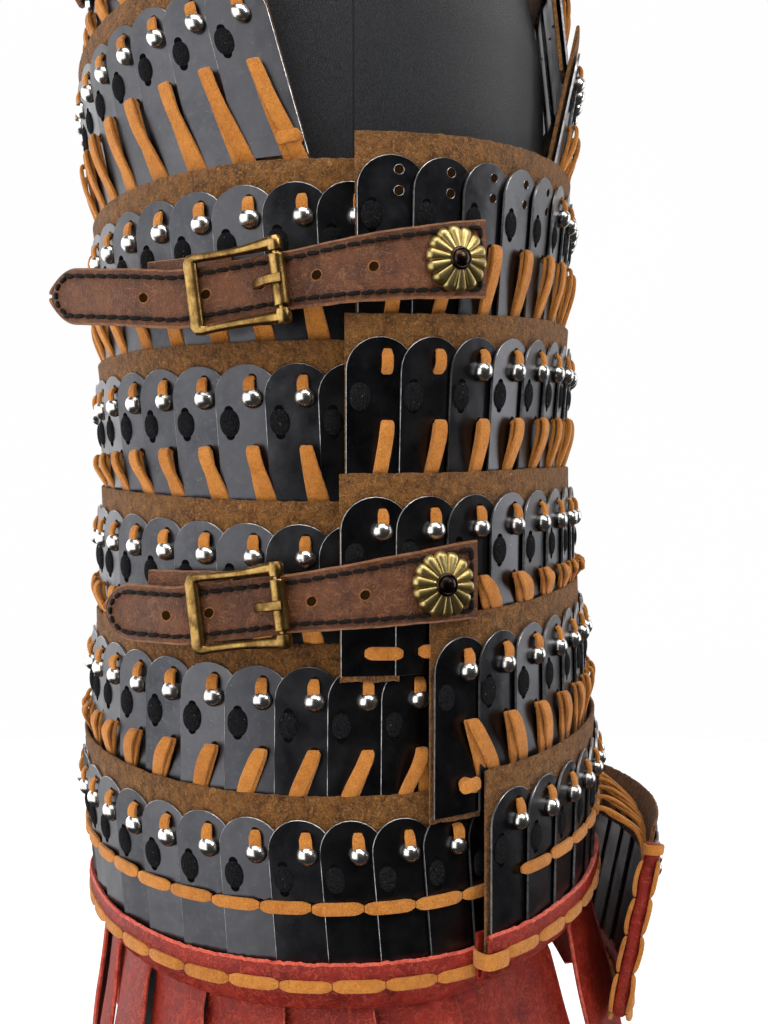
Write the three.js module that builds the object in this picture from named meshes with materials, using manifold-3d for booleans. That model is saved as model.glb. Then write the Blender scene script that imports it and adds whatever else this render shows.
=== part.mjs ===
// Side-buckled lamellar cuirass on a limbless dress form. Millimetres, +Z up, the wearer faces -Y.
// Each panel is a stack of bands: laced steel plates on a suede strip, every band hanging over the
// foot of the band above it. The origin is the middle of the underside of the form's base.
import * as THREE from 'three';
import { mergeVertices } from 'three/addons/utils/BufferGeometryUtils.js';
import Module from 'manifold-3d';

const wasm = await Module();
wasm.setup();

// Driving dimensions
const PLATE_LENGTH = 85;
const PLATE_PITCH = 25;
const PLATE_THICKNESS = 1.2;
const SCALLOP_DEPTH = 7;
const SUEDE_THICKNESS = 2;
const SUEDE_ABOVE_PLATES = 11;
const SUEDE_BEHIND_PLATES = 20;
const SUEDE_BEYOND_EDGE = 4;
const ROW_LEAN = 8;
const FRONT_OVER_BACK = 13;
const GAP = 0.3;
const FACET_GAP = 0.8;
const PLAN_POWER = 2.25;
const STRAP_THICKNESS = 3.5;

// Outer face of the armour at a few levels: height, half width, reach to the front, reach to the back
const FIGURE = [
  [60, 206, 152, 150],
  [130, 203, 151, 148],
  [170, 200, 151, 149],
  [215, 196, 151, 152],
  [260, 189, 146, 150],
  [300, 186, 141, 146],
  [325, 185, 138, 144],
  [350, 184, 133, 142],
  [420, 186, 132, 143],
  [500, 190, 131, 145],
  [560, 190, 133, 149],
  [610, 186, 136, 155],
  [660, 176, 130, 151],
  [720, 162, 110, 138],
];

// Bands from the shoulder down. top: height of the plates' tops at the panel's middle; drop: how much
// lower they sit at the side; edge: y of the panel's edge, and span: its distance round from the
// middle, each [at the tops, at the feet]; spread: extra half width that flattens the curve; hang: y
// where the tongues below the hem stop, which on the front is where the back's take over.
const BACK_ROWS = [
  { top: 679, drop: -16, edge: [84, 62] },
  { top: 603, drop: -25, edge: [42, 18] },
  { top: 517, drop: -10, edge: [-45, -45] },
  { top: 441, drop: 0, edge: [-45, -45] },
  { top: 375, drop: 11, edge: [-45, -45] },
  { top: 307, drop: 11, edge: [-88, -88] },
  { top: 242, drop: 18, edge: [-112, -112], hang: -112 },
];
const FRONT_ROWS = [
  { top: 694, drop: 0, span: [86, 96], spread: [70, 60] },
  { top: 619, drop: 4, span: [98, 106], spread: [60, 0] },
  { top: 544, drop: 7, edge: [-14, -14] },
  { top: 462, drop: 10, edge: [-9, -9] },
  { top: 385, drop: 8, edge: [-7, -7] },
  { top: 324, drop: 16, edge: [-50, -50] },
  { top: 251, drop: 20, edge: [-77, -77], hang: -128 },
];

// The dress form: height, half width, reach to the front, reach to the back
const FORM = [
  [12.3, 154, 106, 110],
  [70, 162, 110, 118],
  [150, 168, 112, 122],
  [215, 166, 113, 121],
  [280, 157, 112, 116],
  [345, 150, 108, 110],
  [420, 154, 110, 111],
  [500, 161, 114, 117],
  [560, 166, 117, 123],
  [620, 168, 116, 127],
  [660, 167, 108, 124],
  [690, 159, 96, 112],
  [708, 141, 80, 95],
  [720, 115, 68, 81],
  [730, 87, 60, 69],
  [741, 70, 55, 61],
  [758, 60, 53, 56],
  [790, 57, 53, 53],
];
const BASE = { halfWidth: 150, halfDepth: 106, thickness: 12 };
const NECK_CAP = { radius: 50, thickness: 9, z: 790.3 };

const HEM = { outerFrom: 66, lap: 2.5, leather: 2 };
const TONGUE = { pitch: 45, from: 70, slit: 92, shoulder: 155, tip: 178, slitWidth: 3, leather: 3 };
const TONGUE_FLARE = Math.tan(THREE.MathUtils.degToRad(9));
const APRON = { plates: 8, halfWidth: 100, top: 192, topY: -168, footY: -150, bow: 14, roll: 8 };

// Side straps: plan points [y, distance out from the middle], straight through the buckle from
// STRAIGHT.from to STRAIGHT.to, and heights at the root, at STRAIGHT.to and at the tip
const STRAIGHT = { from: 15, to: 75 };
const STRAPS = {
  upper: {
    path: [[-71, 184], [-55, 193], [-32, 202], [-10, 205.5], [15, 200.2], [75, 185.8],
      [100, 173], [128, 153], [150, 135]],
    heights: [491, 471, 480],
    rosetteY: -56,
    tab: [[50, 184.3], [70, 175.5], [92, 162]],
  },
  lower: {
    path: [[-67, 182], [-50, 190.5], [-30, 197], [-7, 200.5], [15, 195.2], [75, 180.8],
      [96, 165], [117, 147]],
    heights: [338, 320, 321],
    rosetteY: -50,
    tab: [[50, 179.3], [70, 171], [92, 159]],
  },
};
const STRAP_WIDTH = { root: 36, buckle: 26, tail: 25 };
const BUCKLE = { y: 45, length: 50, height: 39, bar: 5, thickness: 4, pinDepth: 10.2, pin: 3 };
const SLOT = { from: 7, to: 14, height: 5 };
const ROSETTE = { radius: 16, height: 6 };
const TAB = { low: -14, high: 17, thickness: 3 };
const SHOULDER = {
  x: 92,
  width: 44,
  path: [[-122, 655], [-121.5, 702], [-103, 722], [-62, 738], [0, 746], [60, 743], [106, 727],
    [135, 703], [143.5, 688], [144, 648]],
};

const COLOURS = {
  steel: new THREE.MeshStandardMaterial({ color: 0x2b2c31, roughness: 0.38, metalness: 0.85 }),
  suede: new THREE.MeshStandardMaterial({ color: 0x5a3313, roughness: 0.95, metalness: 0 }),
  red: new THREE.MeshStandardMaterial({ color: 0x9a2a1e, roughness: 0.6, metalness: 0 }),
  brown: new THREE.MeshStandardMaterial({ color: 0x4a281c, roughness: 0.55, metalness: 0 }),
  brass: new THREE.MeshStandardMaterial({ color: 0xa98b45, roughness: 0.35, metalness: 1 }),
  cloth: new THREE.MeshStandardMaterial({ color: 0x1c1d20, roughness: 0.9, metalness: 0 }),
  lacquer: new THREE.MeshStandardMaterial({ color: 0x15130f, roughness: 0.5, metalness: 0 }),
};

const model = new THREE.Group();

function add(name, geometry, material, parent = model) {
  geometry.deleteAttribute('uv');
  geometry.computeVertexNormals();
  const mesh = new THREE.Mesh(geometry, material);
  mesh.name = name;
  parent.add(mesh);
  return mesh;
}

// A closed body from points and triangles, turned so that its faces point out
function body(points, triangles) {
  let volume = 0;
  const edge = new THREE.Vector3();
  for (const [a, b, c] of triangles) {
    volume += points[a].dot(edge.crossVectors(points[b], points[c]));
  }
  const turned = volume < 0 ? triangles.map(([a, b, c]) => [a, c, b]) : triangles;
  const geometry = new THREE.BufferGeometry().setFromPoints(points);
  geometry.setIndex(turned.flat());
  return geometry;
}

// A run of equal closed sections joined side to side, with its two ends filled by the given quads
function run(sections, ends = [[0, 1, 2, 3]]) {
  const size = sections[0].length;
  const triangles = [];
  for (let i = 0; i + 1 < sections.length; i++) {
    for (let j = 0; j < size; j++) {
      const a = i * size + j;
      const b = i * size + (j + 1) % size;
      triangles.push([a, b, b + size], [a, b + size, a + size]);
    }
  }
  const last = (sections.length - 1) * size;
  for (const [a, b, c, d] of ends) {
    triangles.push([a, c, b], [a, d, c]);
    triangles.push([last + a, last + b, last + c], [last + a, last + c, last + d]);
  }
  return body(sections.flat(), triangles);
}

// A wall of one thickness from a list of [outer top, outer foot, inner foot, inner top] columns
const wall = (columns) => run(columns);

function figureAt(z, table) {
  const last = table.length - 1;
  let i = table.findIndex((level) => level[0] >= z);
  i = THREE.MathUtils.clamp(i < 0 ? last : i, 1, last);
  const [low, high] = [table[i - 1], table[i]];
  const t = (z - low[0]) / (high[0] - low[0]);
  return [1, 2, 3].map((k) => THREE.MathUtils.lerp(low[k], high[k], t));
}

// Point on a superellipse at an angle from the panel's middle: [across, towards the panel's side]
function planPoint(angle, halfWidth, near, far) {
  const [c, s] = [Math.cos(angle), Math.sin(angle)];
  const depth = c >= 0 ? near : -far;
  const power = 2 / PLAN_POWER;
  return [halfWidth * Math.sign(s) * Math.abs(s) ** power, depth * Math.abs(c) ** power];
}

// A level curve round the figure, looked up by distance from the panel's middle
function levelCurve(halfWidth, near, far) {
  const steps = 400;
  const points = [];
  const lengths = [0];
  for (let i = 0; i <= steps; i++) {
    points.push(planPoint(Math.PI * i / steps, halfWidth, near, far));
    if (i > 0) {
      const [a, b] = [points[i - 1], points[i]];
      lengths.push(lengths[i - 1] + Math.hypot(b[0] - a[0], b[1] - a[1]));
    }
  }
  const at = (distance) => {
    const s = Math.abs(distance);
    let i = lengths.findIndex((length) => length >= s);
    i = THREE.MathUtils.clamp(i < 0 ? steps : i, 1, steps);
    const t = (s - lengths[i - 1]) / (lengths[i] - lengths[i - 1]);
    const [a, b] = [points[i - 1], points[i]];
    const side = distance < 0 ? -1 : 1;
    const tangent = Math.hypot(b[0] - a[0], b[1] - a[1]);
    return {
      across: side * THREE.MathUtils.lerp(a[0], b[0], t),
      out: THREE.MathUtils.lerp(a[1], b[1], t),
      normal: [side * -(b[1] - a[1]) / tangent, (b[0] - a[0]) / tangent],
    };
  };
  const distanceAt = (out) => lengths[points.findIndex((point) => point[1] <= out)];
  return { at, distanceAt, halfWidth };
}

// One band of a panel. facing is 1 for the back and -1 for the front.
// place(t, h, off): t from -1 to 1 across the band, h down from the plates' tops, off outwards.
// It is flat across each plate, so that whatever lies on the plates follows their facets.
function makeRow(row, facing) {
  const curves = [row.top, row.top - PLATE_LENGTH].map((z, end) => {
    const [width, front, back] = figureAt(z, FIGURE);
    const lean = end * ROW_LEAN;
    const spread = row.spread ? row.spread[end] : 0;
    return facing > 0
      ? levelCurve(width - lean, back - lean, front - lean - FRONT_OVER_BACK)
      : levelCurve(width - lean + FRONT_OVER_BACK + spread, front - lean, back);
  });
  const spans = curves.map((curve, end) =>
    row.span ? row.span[end] : curve.distanceAt(row.edge[end] * facing));
  const count = Math.round(2 * spans[1] / PLATE_PITCH);
  const onCurve = (t, h, off) => {
    const [top, foot] = curves.map((curve, end) => curve.at(t * spans[end]));
    const z = row.top - row.drop * (top.across / curves[0].halfWidth) ** 2;
    const k = h / PLATE_LENGTH;
    const across = THREE.MathUtils.lerp(top.across, foot.across, k) + off * top.normal[0];
    const out = THREE.MathUtils.lerp(top.out, foot.out, k) + off * top.normal[1];
    return new THREE.Vector3(across, facing * out, z - h);
  };
  const place = (t, h, off = 0) => {
    const u = (t + 1) / 2 * count;
    const j = THREE.MathUtils.clamp(Math.floor(u), 0, count - 1);
    const [left, right] = [j, j + 1].map((k) => onCurve(2 * k / count - 1, h, off));
    return left.lerp(right, u - j);
  };
  const hang = row.hang ? curves[1].distanceAt(row.hang * facing) / spans[1] : 1;
  return { place, count, span: spans[1], hang };
}

// The plates of one band as a scalloped wall, one flat facet to a plate
function plates(place, count) {
  const points = [];
  const triangles = [];
  const boundary = (j) => {
    const t = 2 * j / count - 1;
    for (const off of [0, -PLATE_THICKNESS]) {
      points.push(place(t, PLATE_LENGTH, off), place(t, SCALLOP_DEPTH, off));
    }
  };
  const shoulders = (j) => {
    for (const off of [0, -PLATE_THICKNESS]) {
      const left = place(2 * j / count - 1, 0, off);
      const right = place(2 * (j + 1) / count - 1, 0, off);
      points.push(left.clone().lerp(right, 0.28), left.clone().lerp(right, 0.72));
    }
  };
  boundary(0);
  for (let j = 0; j < count; j++) {
    shoulders(j);
    boundary(j + 1);
    const a = j * 8;
    for (const [side, flip] of [[0, false], [2, true]]) {
      const [foot, valley] = [a + side, a + side + 1];
      const [left, right] = [a + 4 + side, a + 5 + side];
      const [nextFoot, nextValley] = [a + 8 + side, a + 9 + side];
      const face = [[foot, nextFoot, valley], [nextFoot, nextValley, valley],
        [valley, nextValley, right], [valley, right, left]];
      triangles.push(...face.map(([p, q, r]) => (flip ? [p, r, q] : [p, q, r])));
    }
    const rim = [[a + 8, a], [a + 1, a + 4], [a + 4, a + 5], [a + 5, a + 9]];
    for (const [p, q] of rim) {
      triangles.push([p, q, q + 2], [p, q + 2, p + 2]);
    }
  }
  const last = count * 8;
  triangles.push([0, 1, 3], [0, 3, 2], [last, last + 3, last + 1], [last, last + 2, last + 3]);
  return body(points, triangles);
}

// The suede strip behind a band, with a facing behind the whole of the last plate at both edges
function suede(place, count, span) {
  const outer = -PLATE_THICKNESS - FACET_GAP;
  const column = (t, foot) => [
    place(t, -SUEDE_ABOVE_PLATES, outer),
    place(t, foot, outer),
    place(t, foot, outer - SUEDE_THICKNESS),
    place(t, -SUEDE_ABOVE_PLATES, outer - SUEDE_THICKNESS),
  ];
  const deep = PLATE_LENGTH + 3;
  const edge = 1 + SUEDE_BEYOND_EDGE / span;
  const facing = 1 - 2 / count;
  const step = 2 / span;
  const columns = [[-edge, deep], [-facing, deep], [-facing + step, SUEDE_BEHIND_PLATES]];
  for (let j = 2; j < count - 1; j++) {
    columns.push([2 * j / count - 1, SUEDE_BEHIND_PLATES]);
  }
  columns.push([facing - step, SUEDE_BEHIND_PLATES], [facing, deep], [edge, deep]);
  return wall(columns.map(([t, foot]) => column(t, foot)));
}

// The red leather folded over the feet of the lowest plates: a U from outside round to inside
function hemBinding(place, count, span) {
  const leather = HEM.leather;
  const insideFace = -PLATE_THICKNESS - SUEDE_THICKNESS - 2 * FACET_GAP;
  const outsideFace = FACET_GAP;
  const foot = PLATE_LENGTH + 3 + GAP;
  const edge = 1 + (SUEDE_BEYOND_EDGE + HEM.lap) / span;
  const section = (t) => [
    place(t, HEM.outerFrom, outsideFace + leather),
    place(t, foot + leather, outsideFace + leather),
    place(t, foot + leather, insideFace - leather),
    place(t, HEM.outerFrom, insideFace - leather),
    place(t, HEM.outerFrom, insideFace),
    place(t, foot, insideFace),
    place(t, foot, outsideFace),
    place(t, HEM.outerFrom, outsideFace),
  ];
  const sections = [section(-edge)];
  for (let j = 1; j < count; j++) {
    sections.push(section(2 * j / count - 1));
  }
  sections.push(section(edge));
  return run(sections, [[0, 1, 6, 7], [1, 2, 5, 6], [2, 3, 4, 5]]);
}

// The red leather tongues that hang below the hem, cut from one strip
function tongues(place, span, hang) {
  const count = Math.round(2 * span * hang / TONGUE.pitch);
  const behindHem = -PLATE_THICKNESS - SUEDE_THICKNESS - 3 * FACET_GAP - HEM.leather;
  const column = (t, foot) => {
    const outer = (h) => behindHem + (h - TONGUE.slit) * TONGUE_FLARE;
    return [
      place(t, TONGUE.from, outer(TONGUE.from)),
      place(t, foot, outer(foot)),
      place(t, foot, outer(foot) - TONGUE.leather),
      place(t, TONGUE.from, outer(TONGUE.from) - TONGUE.leather),
    ];
  };
  const columns = [];
  const half = TONGUE.slitWidth / 2 / span;
  for (let j = 0; j < count; j++) {
    const [left, right] = [j, j + 1].map((k) => hang * (2 * k / count - 1));
    const width = right - left;
    if (j > 0) {
      columns.push(column(left, TONGUE.slit));
    }
    columns.push(column(left + half, TONGUE.shoulder), column(left + width * 0.27, TONGUE.tip));
    columns.push(column(right - width * 0.27, TONGUE.tip), column(right - half, TONGUE.shoulder));
  }
  return wall(columns);
}

function buildPanel(panel, rows, facing) {
  rows.forEach((row, i) => {
    const { place, count, span, hang } = makeRow(row, facing);
    add(`${panel}_plates_${i + 1}`, plates(place, count), COLOURS.steel);
    add(`${panel}_suede_${i + 1}`, suede(place, count, span), COLOURS.suede);
    if (i === rows.length - 1) {
      add(`${panel}_hem_binding`, hemBinding(place, count, span), COLOURS.red);
      add(`${panel}_tongues`, tongues(place, span, hang), COLOURS.red);
    }
  });
}

// The apron: one more band, laced below the front hem, bound with rolled red leather
function buildApron() {
  const place = (t, h, off = 0) => {
    const k = h / PLATE_LENGTH;
    const bow = APRON.bow * (1 - t * t);
    const y = THREE.MathUtils.lerp(APRON.topY, APRON.footY, k) - bow - off;
    return new THREE.Vector3(APRON.halfWidth * t, y, APRON.top - h);
  };
  add('apron_plates', plates(place, APRON.plates), COLOURS.steel);
  const outer = -PLATE_THICKNESS - FACET_GAP;
  const strip = [];
  for (let j = 0; j <= APRON.plates; j++) {
    const t = 2 * j / APRON.plates - 1;
    strip.push([
      place(t, -SUEDE_ABOVE_PLATES, outer),
      place(t, SUEDE_BEHIND_PLATES, outer),
      place(t, SUEDE_BEHIND_PLATES, outer - SUEDE_THICKNESS),
      place(t, -SUEDE_ABOVE_PLATES, outer - SUEDE_THICKNESS),
    ]);
  }
  add('apron_suede', wall(strip), COLOURS.suede);

  const inner = GAP / APRON.halfWidth;
  const reach = inner + APRON.roll / APRON.halfWidth;
  const foot = PLATE_LENGTH + GAP;
  const [front, rear] = [APRON.roll / 2 - 1, -APRON.roll / 2 - 1];
  const route = [[[-1 - inner, -2], [-1 - reach, -2]], [[-1 - inner, 40], [-1 - reach, 40]]];
  for (let j = 0; j <= APRON.plates; j++) {
    const t = 2 * j / APRON.plates - 1;
    const end = j === 0 || j === APRON.plates;
    const near = end ? t * (1 + inner) : t;
    const far = end ? t * (1 + reach) : t;
    route.push([[near, foot], [far, foot + APRON.roll]]);
  }
  route.push([[1 + inner, 40], [1 + reach, 40]], [[1 + inner, -2], [1 + reach, -2]]);
  const sections = route.map(([near, far]) => [
    place(near[0], near[1], front),
    place(far[0], far[1], front),
    place(far[0], far[1], rear),
    place(near[0], near[1], rear),
  ]);
  add('apron_binding', run(sections), COLOURS.red);
}

// Solids for cutting and joining
function solid(geometry) {
  const bare = geometry.clone();
  bare.deleteAttribute('normal');
  bare.deleteAttribute('uv');
  const merged = mergeVertices(bare);
  return new wasm.Manifold(new wasm.Mesh({
    numProp: 3,
    vertProperties: Float32Array.from(merged.attributes.position.array),
    triVerts: Uint32Array.from(merged.index.array),
  }));
}

function geometryOf(manifold) {
  const { vertProperties, triVerts } = manifold.getMesh();
  const geometry = new THREE.BufferGeometry();
  geometry.setAttribute('position', new THREE.BufferAttribute(vertProperties, 3));
  geometry.setIndex(new THREE.BufferAttribute(triVerts, 1));
  return geometry;
}

function box(u, w, v, lengthU, lengthW, lengthV) {
  return new THREE.BoxGeometry(lengthU, lengthW, lengthV).translate(u, w, v);
}

// Height of a strap's middle: one slope from the root through the buckle, another to the tip
function strapHeight(spec, y) {
  const [root, past, tip] = spec.heights;
  return y < STRAIGHT.to
    ? THREE.MathUtils.mapLinear(y, spec.path[0][0], STRAIGHT.to, root, past)
    : THREE.MathUtils.mapLinear(y, STRAIGHT.to, spec.path.at(-1)[0], past, tip);
}

// Frame for a piece on a strap: X along it to the front, Y outwards, Z up (down on the right side)
function onStrap(spec, y, side) {
  const path = spec.path;
  const i = path.findIndex((point, k) => k > 0 && path[k][0] >= y);
  const [a, b] = [path[i - 1], path[i]];
  const out = THREE.MathUtils.mapLinear(y, a[0], b[0], a[1], b[1]);
  const rise = strapHeight(spec, a[0]) - strapHeight(spec, b[0]);
  const along = new THREE.Vector3(side * (a[1] - b[1]), a[0] - b[0], rise).normalize();
  const outward = new THREE.Vector3(side * (b[0] - a[0]), a[1] - b[1], 0).normalize();
  const frame = new THREE.Matrix4().makeBasis(along, outward, along.clone().cross(outward));
  frame.setPosition(side * out, y, strapHeight(spec, y));
  const group = new THREE.Group();
  group.applyMatrix4(frame);
  model.add(group);
  return group;
}

function strapHalfWidth(spec, y) {
  const root = spec.path[0][0];
  const t = THREE.MathUtils.clamp((y - root) / (STRAIGHT.from - root), 0, 1);
  return THREE.MathUtils.lerp(STRAP_WIDTH.root, STRAP_WIDTH.buckle, t) / 2;
}

// The strap as a wall on its plan path, with a rounded tip and a slot for the buckle's tongue
function strapGeometry(spec, side) {
  const path = spec.path;
  const tip = path.at(-1);
  const before = path.at(-2);
  const lastRun = Math.hypot(tip[0] - before[0], tip[1] - before[1]);
  const back = (distance) => [
    THREE.MathUtils.lerp(tip[0], before[0], distance / lastRun),
    THREE.MathUtils.lerp(tip[1], before[1], distance / lastRun),
  ];
  const points = [...path.slice(0, -1), back(10), back(3), tip];
  const half = points.map(([y]) => strapHalfWidth(spec, y));
  half[half.length - 2] = STRAP_WIDTH.tail * 0.36;
  half[half.length - 1] = STRAP_WIDTH.tail * 0.14;
  const columns = points.map((point, i) => {
    const a = points[Math.max(i - 1, 0)];
    const b = points[Math.min(i + 1, points.length - 1)];
    const length = Math.hypot(b[0] - a[0], b[1] - a[1]);
    const normal = [-(b[1] - a[1]) / length, (b[0] - a[0]) / length];
    const z = strapHeight(spec, point[0]);
    const corner = (off, height) => new THREE.Vector3(
      side * (point[1] + off * normal[1]), point[0] + off * normal[0], z + height);
    const face = STRAP_THICKNESS / 2;
    return [corner(face, half[i]), corner(face, -half[i]), corner(-face, -half[i]), corner(-face, half[i])];
  });
  return wall(columns);
}

function buildStrap(level, spec, sideName) {
  const side = sideName === 'left' ? 1 : -1;
  const name = (piece) => `${level}_${sideName}_${piece}`;
  const buckleZ = strapHeight(spec, BUCKLE.y);
  const lift = STRAP_THICKNESS / 2 + GAP + BUCKLE.thickness / 2;

  const group = onStrap(spec, BUCKLE.y, side);
  group.updateMatrixWorld();
  const slotLength = SLOT.to - SLOT.from;
  const slot = box((SLOT.from + SLOT.to) / 2, 0, 0, slotLength, 3 * STRAP_THICKNESS, SLOT.height);
  slot.applyMatrix4(group.matrixWorld);
  const strap = solid(strapGeometry(spec, side)).subtract(solid(slot));
  add(name('strap'), geometryOf(strap), COLOURS.brown);

  const { length, height, bar, thickness, pin, pinDepth } = BUCKLE;
  const railV = (height - bar) / 2;
  const pinW = lift - pinDepth;
  const post = (v) => box(0, (lift + pinW) / 2 - pin / 4, v, pin, lift - pinW + pin / 2, bar * 0.6);
  const buckle = [
    box(0, lift, railV, length, thickness, bar),
    box(0, lift, -railV, length, thickness, bar),
    box((length - bar) / 2, lift, 0, bar, thickness, height - bar),
    box((bar - length) / 2, lift, 0, bar, thickness, height - bar),
    box(0, pinW, 0, pin, pin, height - bar),
    post(railV),
    post(-railV),
  ].map(solid).reduce((whole, piece) => whole.add(piece));
  add(name('buckle'), geometryOf(buckle), COLOURS.brass, group);

  const ring = pin / 2 + GAP;
  const hook = ring + 1.8;
  const over = lift + thickness / 2 + GAP;
  const bend = new THREE.Shape([
    [ring, pinW - hook], [-hook, pinW - hook], [-hook, pinW + hook], [ring + 2, pinW + hook],
    [SLOT.from + 1, pinW + hook + 1], [SLOT.from + 3, over + 1.5], [length / 2, over + 3],
    [length / 2 + 2, over + 1], [length / 2, over], [SLOT.to - 1, over - 0.5],
    [SLOT.to - 2, pinW + hook], [ring + 4, pinW + ring], [-ring, pinW + ring],
    [-ring, pinW - ring], [ring, pinW - ring],
  ].map(([u, w]) => new THREE.Vector2(u, w)));
  const tongue = new THREE.ExtrudeGeometry(bend, { depth: 3.5, bevelEnabled: false });
  add(name('tongue'), tongue.translate(0, 0, -1.75), COLOURS.brass, group);

  const tab = spec.tab.map(([y, out], i, points) => {
    const [a, b] = [points[Math.max(i - 1, 0)], points[Math.min(i + 1, points.length - 1)]];
    const run2 = Math.hypot(b[0] - a[0], b[1] - a[1]);
    const normal = [-(b[1] - a[1]) / run2, (b[0] - a[0]) / run2];
    const corner = (off, height) => new THREE.Vector3(
      side * (out + off * normal[1]), y + off * normal[0], buckleZ + height);
    return [corner(0, TAB.high), corner(0, TAB.low),
      corner(-TAB.thickness, TAB.low), corner(-TAB.thickness, TAB.high)];
  });
  add(name('tab'), wall(tab), COLOURS.brown);

  const seat = onStrap(spec, spec.rosetteY, side);
  const base = STRAP_THICKNESS / 2 + GAP;
  const { radius, height: rise } = ROSETTE;
  const profile = [[0, base], [radius, base], [radius, base + 1.5], [radius * 0.6, base + rise * 0.8],
    [0, base + rise]].map(([r, w]) => new THREE.Vector2(r, w));
  add(name('rosette'), new THREE.LatheGeometry(profile, 14), COLOURS.brass, seat);
}

function buildShoulderStrap(sideName) {
  const side = sideName === 'left' ? 1 : -1;
  const columns = SHOULDER.path.map(([y, z], i, points) => {
    const [a, b] = [points[Math.max(i - 1, 0)], points[Math.min(i + 1, points.length - 1)]];
    const length = Math.hypot(b[0] - a[0], b[1] - a[1]);
    const normal = [-(b[1] - a[1]) / length, (b[0] - a[0]) / length];
    const corner = (off, across) => new THREE.Vector3(
      side * (SHOULDER.x + across), y + off * normal[0], z + off * normal[1]);
    const [face, half] = [STRAP_THICKNESS / 2, SHOULDER.width / 2];
    return [corner(face, half), corner(-face, half), corner(-face, -half), corner(face, -half)];
  });
  add(`shoulder_strap_${sideName}`, wall(columns), COLOURS.brown);
}

// The form: one smooth closed torso of level rings, a neck cap, and the base it stands on
function buildForm() {
  const around = 28;
  const points = [];
  const triangles = [];
  for (const [z, width, front, back] of FORM) {
    for (let j = 0; j < around; j++) {
      const [across, out] = planPoint(2 * Math.PI * j / around, width, back, front);
      points.push(new THREE.Vector3(across, out, z));
    }
  }
  for (let i = 0; i + 1 < FORM.length; i++) {
    for (let j = 0; j < around; j++) {
      const [a, b] = [i * around + j, i * around + (j + 1) % around];
      triangles.push([a, b, b + around], [a, b + around, a + around]);
    }
  }
  const [foot, head] = [points.length, points.length + 1];
  points.push(new THREE.Vector3(0, 0, FORM[0][0]), new THREE.Vector3(0, 0, FORM.at(-1)[0]));
  const last = (FORM.length - 1) * around;
  for (let j = 0; j < around; j++) {
    const next = (j + 1) % around;
    triangles.push([foot, next, j], [head, last + j, last + next]);
  }
  add('form_torso', body(points, triangles), COLOURS.cloth);

  const cap = new THREE.CylinderGeometry(NECK_CAP.radius, NECK_CAP.radius, NECK_CAP.thickness, 24);
  cap.rotateX(Math.PI / 2).translate(0, 0, NECK_CAP.z + NECK_CAP.thickness / 2);
  add('form_neck_cap', cap, COLOURS.lacquer);
  const base = new THREE.CylinderGeometry(1, 1, BASE.thickness, 32).rotateX(Math.PI / 2);
  base.scale(BASE.halfWidth, BASE.halfDepth, 1).translate(0, 0, BASE.thickness / 2);
  add('form_base', base, COLOURS.lacquer);
}

buildForm();
buildPanel('back', BACK_ROWS, 1);
buildPanel('front', FRONT_ROWS, -1);
buildApron();
for (const sideName of ['right', 'left']) {
  for (const [level, spec] of Object.entries(STRAPS)) {
    buildStrap(level, spec, sideName);
  }
  buildShoulderStrap(sideName);
}

export default model;
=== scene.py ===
# Side-buckled lamellar cuirass on a limbless dress form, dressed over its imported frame.
# The wearer faces -Y and +X is the wearer's left. Meshes are laid out in millimetres and made in metres.
from math import cos, pi, radians, sin

import bmesh
import bpy
import numpy as np
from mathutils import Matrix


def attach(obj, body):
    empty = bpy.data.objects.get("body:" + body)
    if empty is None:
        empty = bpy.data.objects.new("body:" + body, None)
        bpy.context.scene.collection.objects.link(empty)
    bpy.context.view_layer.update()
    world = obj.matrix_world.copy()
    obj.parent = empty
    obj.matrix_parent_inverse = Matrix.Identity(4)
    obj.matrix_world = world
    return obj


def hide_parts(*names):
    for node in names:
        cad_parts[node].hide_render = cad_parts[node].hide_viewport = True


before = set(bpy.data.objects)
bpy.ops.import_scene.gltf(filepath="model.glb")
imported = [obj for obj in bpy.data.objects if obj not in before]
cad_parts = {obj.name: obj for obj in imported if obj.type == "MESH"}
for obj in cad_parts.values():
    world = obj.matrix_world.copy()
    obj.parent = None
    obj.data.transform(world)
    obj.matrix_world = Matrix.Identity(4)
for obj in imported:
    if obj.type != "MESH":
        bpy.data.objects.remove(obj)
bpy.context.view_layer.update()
random = np.random.default_rng(7)

# ---------------------------------------------------------------------------------------------
# Studio: a level camera at the wearer's right side, a pale floor and wall, and soft boxes. The
# large box behind the back gives the plates there their grey sheen, and the front is left dark.
# ---------------------------------------------------------------------------------------------
CAMERA = {"place": (-0.90, -0.023, 0.370), "lens": 52.7, "sensor": 36}
WALL = {"behind": 1.7, "half_width": 3.5, "height": 4.5}
LIGHTS_AIM = (0, 0, 0.38)
SURROUND = {"sides": 48, "inner_radius": 1.62, "above_floor": 0.002}
SOFT_BOXES = {
    # name: (place, width, height, watts)
    "back_quarter": ((-1.20, 1.10, 0.45), 1.6, 1.9, 19),
    "overhead": ((-0.85, -0.05, 1.85), 1.6, 1.1, 23),
    "front_quarter_high": ((-0.95, -1.30, 1.45), 0.6, 0.6, 12),
    "back_side": ((0.25, 1.55, 0.45), 2.4, 1.9, 26),
    "far_rim": ((0.35, -1.60, 0.60), 0.5, 1.2, 7),
}

eye = bpy.data.cameras.new("camera")
eye.sensor_fit, eye.sensor_height, eye.lens = "VERTICAL", CAMERA["sensor"], CAMERA["lens"]
eye.clip_start = 0.01
camera = bpy.data.objects.new("camera", eye)
camera.location = CAMERA["place"]
camera.rotation_euler = (radians(90), 0, radians(-90))
bpy.context.scene.collection.objects.link(camera)
bpy.context.scene.camera = camera


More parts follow.
